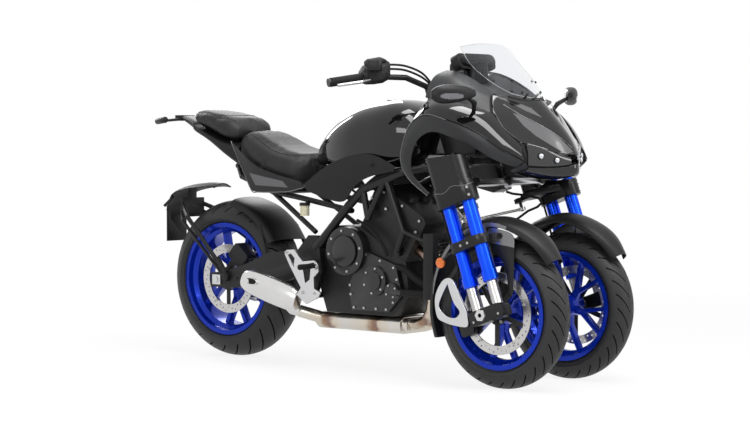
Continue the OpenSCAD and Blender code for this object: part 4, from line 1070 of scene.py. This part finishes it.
SHROUD_R = 0.0412
SPLIT_W = 0.455  # height of the split along the steering axis
BRACKET_W = 0.0144  # top of the axle bracket, along the steering axis
CALIPER_U = -0.0745  # front of the caliper, across the steering axis
HOSE_U = -0.029
HOSE_W = 0.0364
REFLECTOR_ARM = [(0.660, 0.322, 0.494), (0.630, 0.318, 0.480), (0.594, 0.310, 0.454)]


def shroud_wave(s):
    """Points of the wavy split round the outer half of the shroud."""
    points = []
    for i in range(25):
        share = i / 24
        u, y = TUBE_PITCH * (share - 0.25) / 0.5, SHROUD_R
        if share < 0.25:
            a = math.radians(90 * (1 - share / 0.25))
            u, y = -SHROUD_R * math.sin(a), SHROUD_R * math.cos(a)
        elif share >= 0.75:
            a = math.radians(90 * (share - 0.75) / 0.25)
            u, y = TUBE_PITCH + SHROUD_R * math.sin(a), SHROUD_R * math.cos(a)
        w = SPLIT_W + 0.006 * math.sin(share * 4 * math.pi)
        points.append(steer_point(u, s * (FORK_Y + y), w))
    return points


def on_hose(at, n):
    """Whether a face lies on the brake hose behind the fork."""
    u, w = steer_place(at)
    return u < HOSE_U and w > HOSE_W


for side, s in SIDES:
    body = "fork_" + side
    legs = dressed("fork_legs_" + side, "silver", STEEL, 0.0015)
    axle = FRONT_AXLE[side]
    paint_faces(legs, FRAME_BLACK, lambda at, n: steer_place(at)[1] < BRACKET_W)
    paint_faces(legs, CAST_DARK, lambda at, n: steer_place(at)[0] < CALIPER_U)
    paint_faces(legs, SILVER, lambda at, n: abs(at.y) > 0.3466 and radius_from(axle, at) < 0.0235)
    paint_faces(legs, RUBBER, on_hose)
    dressed("fork_yoke_" + side, "frame_black", SHROUD_BLACK, 0.003)
    tube("shroud_split_" + side, shroud_wave(s), 0.0013, body, "silver", SATIN_TRIM_AND_HIGHLIGHT, steps=2)
    cast_plate("caliper_hoop_" + side, [HOOP_OUT, HOOP_IN], s * 0.282, s * 0.291, body, "silver", SILVER)
    tube("reflector_arm_" + side, mirrored(REFLECTOR_ARM, s), 0.005, body, "frame_black", FRAME_BLACK)
    way = (0, s, 0)
    disc_piece("side_reflector_" + side, (0.592, s * 0.308, 0.451), way, 0.019, 0.008, body, "lamp", AMBER,
               0.003, 0.0015)
    front_way = Vector((0.7 * ACROSS.x, 0.7 * s, 0.7 * ACROSS.z))
    clamp = [(steer_point(u, s * 0.3548, 0.25), way, 0.010) for u in (0.030, 0.062)]
    corner = [(steer_point(TUBE_PITCH + 0.0288, s * (FORK_Y + 0.0288), w), front_way, 0.010)
              for w in (0.412, 0.440)]
    pinch = [(steer_point(u, s * 0.3478, -0.024), way, 0.009) for u in (-0.012, 0.102)]
    bolts("fork_bolts_" + side, body, "steel", STEEL, clamp + corner + pinch)
    guard = moulded("fender_" + side, "matte_black", MATTE_BLACK, levels=2)
    # stay plate on the mudguard painted grey: a painted highlight on a black plate
    paint_faces(guard, SATIN_TRIM_AND_HIGHLIGHT, lambda at, n: 0.2705 < abs(at.y) < 0.2768 and at.x < 0.86)
    rows = [mirrored(row, s) for row in SHIELD]
    # the grey upper part of the shield is a painted highlight on a black plate; the lower faces are made
    # black
    shield = panel("fork_shield_" + side, rows, 0.003, body, "matte_grey", SHIELD_HIGHLIGHT)
    paint_faces(shield, MATTE_BLACK, lambda at, n: at.z + 0.12 * (at.x - 0.78) < 0.5275)
    disc_piece("shield_bolt_" + side, (0.836, s * 0.2835, 0.556), way, 0.011, 0.004, body, "matte_black",
               MATTE_BLACK, 0.004, -0.0015)

# Body shells

NOSE_PAINT = make_nose_paint()
shells = {}
for node, slot, material, levels in [
        ("nose_cowl", "gloss_black", NOSE_PAINT, 2), ("shoulder_panels", "gloss_black", GLOSS_BLACK, 2),
        ("arch_panels", "matte_grey", MATTE_GREY, 2), ("cockpit_cowl", "matte_grey", MATTE_GREY, 2),
        ("fuel_tank", "gloss_black", GLOSS_BLACK, 2), ("knee_panels", "matte_black", MATTE_BLACK, 1),
        ("side_panels", "matte_black", make_side_paint(), 2), ("tail_cowl", "matte_black", MATTE_BLACK, 1),
        ("rear_hugger", "matte_black", MATTE_BLACK, 1), ("mirrors", "matte_black", MATTE_BLACK, 2),
        ("windscreen", "clear", CLEAR, 2)]:
    shells[node] = moulded(node, slot, material, levels=levels)
MIRROR_AT = Vector((0.690, 0.368, 1.062))
MIRROR_TURN = math.radians(34)
MIRROR_ARM_Y = 0.28  # the housings lie further out than this


def mirror_place(at, n):
    """How far a face of a mirror looks ahead, and its place along the housing."""
    s = 1 if at.y > 0 else -1
    ahead = n.x * math.cos(MIRROR_TURN) + s * n.y * math.sin(MIRROR_TURN)
    off = Vector((at.x, abs(at.y), at.z)) - MIRROR_AT
    return ahead, off.y * math.cos(MIRROR_TURN) - off.x * math.sin(MIRROR_TURN)


def on_mirror_glass(at, n):
    ahead, along = mirror_place(at, n)
    inside = abs(along) < 0.066 and abs(at.z - MIRROR_AT.z) < 0.024
    return abs(at.y) >= MIRROR_ARM_Y and ahead <= -0.55 and inside


def on_mirror_signal(at, n):
    ahead, along = mirror_place(at, n)
    oval = ((along - 0.010) / 0.044) ** 2 + ((at.z - 1.052) / 0.011) ** 2
    return abs(at.y) >= MIRROR_ARM_Y and ahead >= 0.3 and oval < 1


paint_faces(shells["mirrors"], MIRROR_GLASS, on_mirror_glass)
paint_faces(shells["mirrors"], SIGNAL_LENS, on_mirror_signal)

# painted highlight along the top edge of the arch panels, where they meet the shoulder: a thin grey tube
ARCH_HIGHLIGHT = [(0.470, 0.236, 0.690), (0.396, 0.246, 0.745), (0.368, 0.260, 0.800), (0.376, 0.272, 0.860),
             (0.428, 0.288, 0.951), (0.520, 0.313, 0.989), (0.620, 0.319, 0.969)]
SIDE_EDGE = [(-0.636, 0.122, 0.884), (-0.584, 0.137, 0.818), (-0.531, 0.153, 0.753), (-0.478, 0.168, 0.688),
             (-0.440, 0.172, 0.684), (-0.390, 0.176, 0.684), (-0.330, 0.180, 0.686), (-0.262, 0.184, 0.690),
             (-0.184, 0.188, 0.706)]
SCREEN_BOLTS = [(0.726, 0.062, 1.110), (0.690, 0.128, 1.104), (0.768, 0.056, 1.066), (0.742, 0.088, 1.066)]
LAMP_BROW = [(0.950, 0.024, 0.840), (0.938, 0.054, 0.846), (0.900, 0.114, 0.868), (0.868, 0.160, 0.882)]
LAMP_STRIPS = [[(0.874, 0.156, 0.868), (0.880, 0.158, 0.840), (0.876, 0.154, 0.812)],
               [(0.886, 0.138, 0.866), (0.894, 0.140, 0.838), (0.888, 0.134, 0.806)]]
EYES = [((0.935, 0.074, 0.823), 20), ((0.900, 0.125, 0.838), 25)]
housing = moulded("headlamps", "lamp", SMOKED, levels=1)
for side, s in SIDES:
    # grey tube as a painted highlight along the arch edge
    tube("arch_highlight_" + side, mirrored(ARCH_HIGHLIGHT, s), 0.0016, "chassis", "silver", SATIN_TRIM_AND_HIGHLIGHT)
    tube("side_edge_" + side, mirrored(SIDE_EDGE, s), 0.0022, "chassis", "silver", SATIN_TRIM_AND_HIGHLIGHT)
    tube("lamp_brow_" + side, mirrored(LAMP_BROW, s), 0.0010, "chassis", "lamp", LIGHT_GUIDE)
    for i, strip in enumerate(LAMP_STRIPS):
        tube(f"lamp_strip_{side}_{i}", mirrored(strip, s), 0.0013, "chassis", "lamp", LIGHT_GUIDE)
    for i, (place, turn) in enumerate(EYES):
        way = Vector((math.cos(math.radians(turn)), s * math.sin(math.radians(turn)), 0))
        near = Vector((place[0], s * place[1], place[2]))
        at = land(housing, near + 0.08 * way, -way) or near
        disc_piece(f"lamp_ring_{side}_{i}", at - 0.003 * way, way, 0.0135, 0.006, "chassis", "frame_black",
                   FRAME_BLACK, 0.003, -0.002)
        disc_piece(f"lamp_eye_{side}_{i}", at - 0.002 * way, way, 0.0092, 0.006, "chassis", "lamp", PROJECTOR,
                   0.003, 0.0022)
# dark strips behind the joints between panels: radius and line
SEALS = {
    "cowl_shoulder": (0.009, [(0.479, 0.236, 1.043), (0.564, 0.246, 1.032), (0.651, 0.235, 1.014),
                              (0.738, 0.203, 0.986)]),
    "nose_shoulder": (0.010, [(0.733, 0.199, 0.993), (0.792, 0.202, 0.927), (0.846, 0.174, 0.876)]),
    "nose_cowl": (0.011, [(0.690, 0.116, 1.054), (0.696, 0.150, 1.042), (0.716, 0.182, 1.012),
                          (0.733, 0.198, 0.988)]),
    "shoulder_arch": (0.008, [(0.434, 0.279, 0.953), (0.520, 0.303, 0.984), (0.620, 0.309, 0.964),
                              (0.730, 0.291, 0.924), (0.812, 0.254, 0.865), (0.872, 0.192, 0.818)]),
    "lamp_nose": (0.010, [(0.949, 0.010, 0.833), (0.926, 0.058, 0.840), (0.882, 0.118, 0.862),
                          (0.847, 0.168, 0.878)]),
    "lamp_lip": (0.009, [(0.954, 0.008, 0.808), (0.934, 0.046, 0.801), (0.893, 0.106, 0.799),
                         (0.861, 0.160, 0.802)]),
    "lamp_shoulder": (0.011, [(0.850, 0.172, 0.878), (0.868, 0.180, 0.836), (0.862, 0.178, 0.806)]),
    "screen_nose": (0.009, [(0.802, 0.0, 1.033), (0.780, 0.052, 1.035), (0.740, 0.104, 1.049)]),
}
# painted highlight down each side of the nose: a thin grey tube laid on the gloss black ridge
NOSE_RIDGE_HIGHLIGHT = [(0.7505, 0.1498, 1.0220), (0.8039, 0.1202, 0.9852), (0.8590, 0.0690, 0.9440),
              (0.9100, 0.0380, 0.9050), (0.9561, 0.0105, 0.8660)]
DASH_COWL = [[(x, y, z - 0.30 * (0.125 - abs(y))) for y in (-0.125, -0.085, -0.04, 0.0, 0.04, 0.085, 0.125)]
             for x, z in ((0.500, 1.144), (0.560, 1.130), (0.620, 1.100), (0.680, 1.068), (0.735, 1.046),
                          (0.785, 1.036))]
CHIN_FILL = [[(0.880, 0.197, 0.815), (0.852, 0.200, 0.795), (0.815, 0.198, 0.788)],
             [(0.879, 0.180, 0.808), (0.860, 0.186, 0.790), (0.818, 0.186, 0.782)],
             [(0.874, 0.163, 0.799), (0.862, 0.170, 0.786), (0.820, 0.170, 0.779)]]
panel("dash_cowl", DASH_COWL, 0.003, "chassis", "matte_grey", MATTE_GREY)
for side, s in SIDES:
    for name, (radius, points) in SEALS.items():
        tube(f"seal_{name}_{side}", mirrored(points, s), radius, "chassis", "rubber", RUBBER)
    rows = [mirrored(row, s) for row in CHIN_FILL]
    panel("chin_fill_" + side, rows, 0.003, "chassis", "matte_grey", MATTE_GREY)
    way = Vector((0.72, 0.35 * s, 0.6)).normalized()
    highlight_line = [land(shells["nose_cowl"], Vector(place) + 0.05 * way, -way) for place in mirrored(NOSE_RIDGE_HIGHLIGHT, s)]
    # grey tube as a painted highlight along the ridge
    tube("nose_ridge_highlight_" + side, [at for at in highlight_line if at], 0.0016, "chassis", "gloss_black", SATIN_TRIM_AND_HIGHLIGHT)
screen_dots = []
for x, y, z in SCREEN_BOLTS:
    for s in (-1, 1):
        way = Vector((0.62, 0.35 * s, 0.70)).normalized()
        at = land(shells["windscreen"], Vector((x, s * y, z)) + 0.06 * way, -way)
        if at is not None:
            screen_dots.append((at, way, 0.009))
bolts("screen_bolts", "chassis", "matte_black", MATTE_BLACK, screen_dots)
cap = land(shells["fuel_tank"], (0.13, 0, 1.2), (0, 0, -1))
disc_piece("filler_cap", cap - Vector((0, 0, 0.002)), (0, 0, 1), 0.038, 0.005, "chassis", "frame_black",
           FRAME_BLACK, 0.010, 0.0015, 48)
bolts("filler_bolts", "chassis", "steel", STEEL,
      [(cap + Vector((0.031 * math.cos(a), 0.031 * math.sin(a), 0.0028)), (0, 0, 1), 0.006)
       for a in (math.radians(60 * i) for i in range(6))])
for side, s in SIDES:
    disc_piece("knee_stud_" + side, (0.175, s * 0.1985, 0.799), (0, s, 0), 0.008, 0.003, "chassis",
               "matte_black", RUBBER, 0.003, -0.001)

# Machined and cast nodes with broken edges

cast = {}
for node, slot, material, edge in [
        ("engine_case", "cast_dark", CAST_DARK, 0.004), ("engine_head", "cast_dark", CAST_DARK, 0.004),
        ("engine_covers", "cast_dark", COVER_GREY, 0.003), ("swingarm", "cast_dark", CAST_DARK, 0.004),
        ("lean_arms", "silver", SILVER, 0.003), ("lean_uprights", "cast_dark", CAST_DARK, 0.002),
        ("steering_head", "frame_black", FRAME_BLACK, 0.003), ("rear_axle", "silver", SILVER, 0.0015),
        ("foot_controls", "silver", SILVER, 0.002), ("instrument_panel", "matte_black", MATTE_BLACK, 0.004),
        ("bar_controls", "matte_black", MATTE_BLACK, 0.002),
        ("side_stand", "frame_black", FRAME_BLACK, 0.0015),
        ("sprocket_rear", "steel", STEEL, 0.001), ("radiator", "matte_black", MATTE_BLACK, 0.0008),
        ("plate_holder", "matte_black", MATTE_BLACK, 0.001), ("tail_lamp", "matte_black", MATTE_BLACK, 0.002),
        ("grips", "rubber", RUBBER, 0.002), ("silencer", "silver", BRUSHED, 0.002),
        ("brake_reservoir", "reservoir", RESERVOIR, 0.002), ("exhaust", "exhaust_metal", HEATED, 0.002)]:
    cast[node] = dressed(node, slot, material, edge)

MUFFLER_END = Vector((-0.450, -0.226, 0.336))
MUFFLER_WAY = (MUFFLER_END - Vector((-0.212, -0.190, 0.262))).normalized()
GRIPS_LOW, GRIPS_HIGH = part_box("grips")
BAR_END = Vector((GRIPS_LOW.x, GRIPS_HIGH.y, 1.106))
BAR_WAY = Vector((-0.072, 0.149, -0.025)).normalized()
LEVER_WAY = Vector((1, 0.483, -0.25)).normalized()


def in_muffler_bore(at, n):
    off = at - MUFFLER_END
    along = off.dot(MUFFLER_WAY)
    return along > -0.025 and (off - along * MUFFLER_WAY).length < 0.0168


def on_lever(at, n):
    """Whether a face lies on a brake or clutch lever, seen from the bar end."""
    off = Vector((at.x, abs(at.y), at.z)) - BAR_END
    along = off.dot(BAR_WAY)
    ahead = off.dot(LEVER_WAY)
    level = off.z - along * BAR_WAY.z - ahead * LEVER_WAY.z
    return ahead > 0.030 and abs(level) < 0.013 and along > -0.146


for node, material, test in [
        ("silencer", RUBBER, in_muffler_bore),
        ("brake_reservoir", MATTE_BLACK, lambda at, n: at.z > 0.6352 or at.y > -0.147),
        ("foot_controls", RUBBER, lambda at, n: abs(at.y) > 0.2265),
        ("tail_lamp", RED_LAMP, lambda at, n: abs(at.y) < 0.0382 and at.x < -1.0005 and n.x < -0.5),
        ("tail_lamp", AMBER, lambda at, n: abs(at.y) > 0.1495 and n.x < -0.4),
        ("radiator", RUBBER, lambda at, n: at.z > 0.5465),
        ("engine_case", GLOSS_BLACK,
         lambda at, n: at.x > 0.3006 and at.z < 0.335 and abs(at.y - 0.046) < 0.034),
        ("engine_covers", RUBBER, lambda at, n: at.y < -0.150 and at.x > 0.282 and at.z < 0.335),
        ("engine_head", RUBBER, lambda at, n: at.z > 0.667 and at.x > 0.25),
        ("bar_controls", STEEL, on_lever),
        ("instrument_panel", SCREEN_GLASS, lambda at, n: n.x < -0.9 and at.z > 1.145),
        ("rear_axle", CAST_DARK, lambda at, n: -0.1005 < at.y < -0.041 and at.z > 0.36),
        ("sprocket_rear", CAST_DARK, lambda at, n: radius_from(REAR_AXLE, at) < 0.060)]:
    paint_faces(cast[node], material, test)

# rings of the switch and brake housing: place in from the bar end, back, front, low and high
HOUSING = [(0.142, -0.019, 0.024, -0.019, 0.020), (0.156, -0.023, 0.036, -0.024, 0.038),
           (0.186, -0.024, 0.044, -0.026, 0.050), (0.222, -0.024, 0.044, -0.026, 0.054),
           (0.246, -0.022, 0.040, -0.018, 0.052), (0.254, -0.018, 0.034, -0.008, 0.046)]
FLUID_LID = [(0.164, -0.014, 0.036, 0.040, 0.056), (0.176, -0.016, 0.040, 0.048, 0.0625),
             (0.226, -0.016, 0.040, 0.050, 0.0635), (0.238, -0.012, 0.036, 0.050, 0.059)]
# a ring's corners, as shares of its half width and half height
CORNERS = [(1, 0.6), (0.7, 1), (-0.7, 1), (-1, 0.6), (-1, -0.6), (-0.7, -1), (0.7, -1), (1, -0.6)]


def housing_ring(s, place, back, front, low, high):
    middle_at = BAR_END - place * BAR_WAY
    ring = []
    for across, up in CORNERS:
        ahead = (front + back) / 2 + across * (front - back) / 2
        rise = (high + low) / 2 + up * (high - low) / 2
        at = middle_at + ahead * LEVER_WAY + Vector((0, 0, rise))
        ring.append(Vector((at.x, s * at.y, at.z)))
    return ring


for side, s in SIDES:
    loft("switch_housing_" + side, [housing_ring(s, *ring) for ring in HOUSING], "handlebar", "matte_black",
         MATTE_BLACK, 0.003)
    loft("fluid_lid_" + side, [housing_ring(s, *ring) for ring in FLUID_LID], "handlebar", "matte_black",
         RUBBER, 0.002)
    for k, drop in enumerate((0.0, 0.016)):
        line = [(0.262, 0.214, 1.176 - drop), (0.300, 0.160, 1.172 - drop), (0.335, 0.100, 1.146 - drop),
                (0.340, 0.045, 1.105 - drop / 2)]
        tube(f"bar_hose_{side}_{k}", mirrored(line, s), 0.0042, "handlebar", "rubber", RUBBER)
dash_low, dash_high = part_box("instrument_panel")
dash_x = (dash_low.x + dash_high.x) / 2
stay = [[Vector((dash_x + 0.022 * a, 0.050 * b, z)) for a, b in CORNERS]
        for z in (1.050, 1.100, dash_high.z - 0.030)]
loft("dash_stay", stay, "chassis", "matte_black", MATTE_BLACK, 0.004)
keel = [[(x, 0.0, z) for x in (0.64, 0.72, 0.80, 0.87)] for z in (0.865, 0.825, 0.785, 0.755)]
panel("nose_keel", keel, 0.004, "chassis", "matte_black", MATTE_BLACK)
coolant = [(0.255, -0.146, 0.415), (0.300, -0.150, 0.402), (0.345, -0.150, 0.372), (0.392, -0.140, 0.345)]
tube("coolant_hose", coolant, 0.013, "chassis", "rubber", RUBBER)
loom = [(0.060, -0.150, 0.585), (0.120, -0.158, 0.560), (0.185, -0.160, 0.505), (0.215, -0.158, 0.455)]
tube("engine_loom", loom, 0.006, "chassis", "rubber", RUBBER)
OUTLET_WAY = Vector((-0.20, -0.97, 0.12)).normalized()
outlet = land(cast["silencer"], Vector((-0.405, -0.250, 0.334)) + 0.1 * OUTLET_WAY, -OUTLET_WAY)
if outlet is not None:
    for name, long_r, short_r, rise, slot, material in [
            ("outlet_ring", 0.034, 0.017, 0.0012, "silver", BRUSHED),
            ("outlet_mouth", 0.029, 0.012, 0.0020, "rubber", RUBBER)]:
        mouth = disc_piece(name, (0, 0, 0), (0, 0, 1), 0.01, 0.006, "chassis", slot, material, 0.002, -0.001)
        lean = Matrix((MUFFLER_WAY, OUTLET_WAY.cross(MUFFLER_WAY), OUTLET_WAY)).transposed().to_4x4()
        mouth.matrix_world = (Matrix.Translation(outlet + (rise - 0.006) * OUTLET_WAY) @ lean
                              @ Matrix.Diagonal((long_r / 0.01, short_r / 0.01, 1, 1)))
        settle(mouth)
COVER_Y = -0.1573
COVER_EDGE = [(0.108, 0.455), (0.180, 0.434), (0.246, 0.410), (0.262, 0.366), (0.274, 0.310), (0.244, 0.278),
              (0.210, 0.250), (0.160, 0.250), (0.100, 0.250), (0.050, 0.250), (0.034, 0.300), (0.030, 0.335)]
cover_bolts = [((x, COVER_Y, z), (0, -1, 0), 0.010) for x, z in COVER_EDGE]
clutch_bolts = round_places((0.019, -0.1793, 0.466), 0.079, 8, (0, -1, 0), 0.010, 10)
pump_bolts = round_places((0.248, -0.1773, 0.322), 0.024, 4, (0, -1, 0), 0.008, 30)
small_bolts = round_places((0.160, -0.1733, 0.357), 0.0475, 6, (0, -1, 0), 0.009, 20)
left_bolts = round_places((0.150, 0.1773, 0.400), 0.065, 8, (0, 1, 0), 0.010, 12)
HEAD_Y = -0.1463
HEAD_EDGE = [(0.130, 0.672), (0.200, 0.632), (0.275, 0.588), (0.345, 0.548), (0.362, 0.590), (0.280, 0.645),
             (0.190, 0.695)]
head_bolts = [((x, HEAD_Y, z), (0, -1, 0), 0.011) for x, z in HEAD_EDGE]
bolts("engine_bolts", "chassis", "steel", STEEL,
      cover_bolts + clutch_bolts + pump_bolts + small_bolts + left_bolts + head_bolts)
guard_bolts = [((x, s * 0.2218, z), (0, s, 0), 0.012) for s in (-1, 1)
               for x, z in ((-0.243, 0.4535), (-0.092, 0.402), (-0.158, 0.300), (-0.095, 0.300))]
bolts("heel_guard_bolts", "chassis", "steel", STEEL, guard_bolts)

# Soft goods

RIDER_SEAM = [(-0.560, 0.090, 1.1), (-0.480, 0.112, 1.1), (-0.400, 0.126, 1.1), (-0.320, 0.122, 1.1),
              (-0.262, 0.092, 1.1)]
PILLION_SEAM = [(-0.880, 0.062, 1.2), (-0.780, 0.094, 1.2), (-0.700, 0.102, 1.2), (-0.640, 0.086, 1.2)]
CROSS_SEAM = [(-0.700, -0.100, 1.2), (-0.694, -0.040, 1.2), (-0.694, 0.040, 1.2), (-0.700, 0.100, 1.2)]
rider = make_pad("rider_seat", 0.006, 0.009)
pillion = make_pad("pillion_seat", 0.005, 0.008)
for side, s in SIDES:
    seam("rider_seam_" + side, rider, mirrored(RIDER_SEAM, s), 0.0018)
    seam("pillion_seam_" + side, pillion, mirrored(PILLION_SEAM, s), 0.0016)
seam("pillion_cross_seam", pillion, CROSS_SEAM, 0.0016)
make_chain()

bpy.data.objects.remove(BOLT)
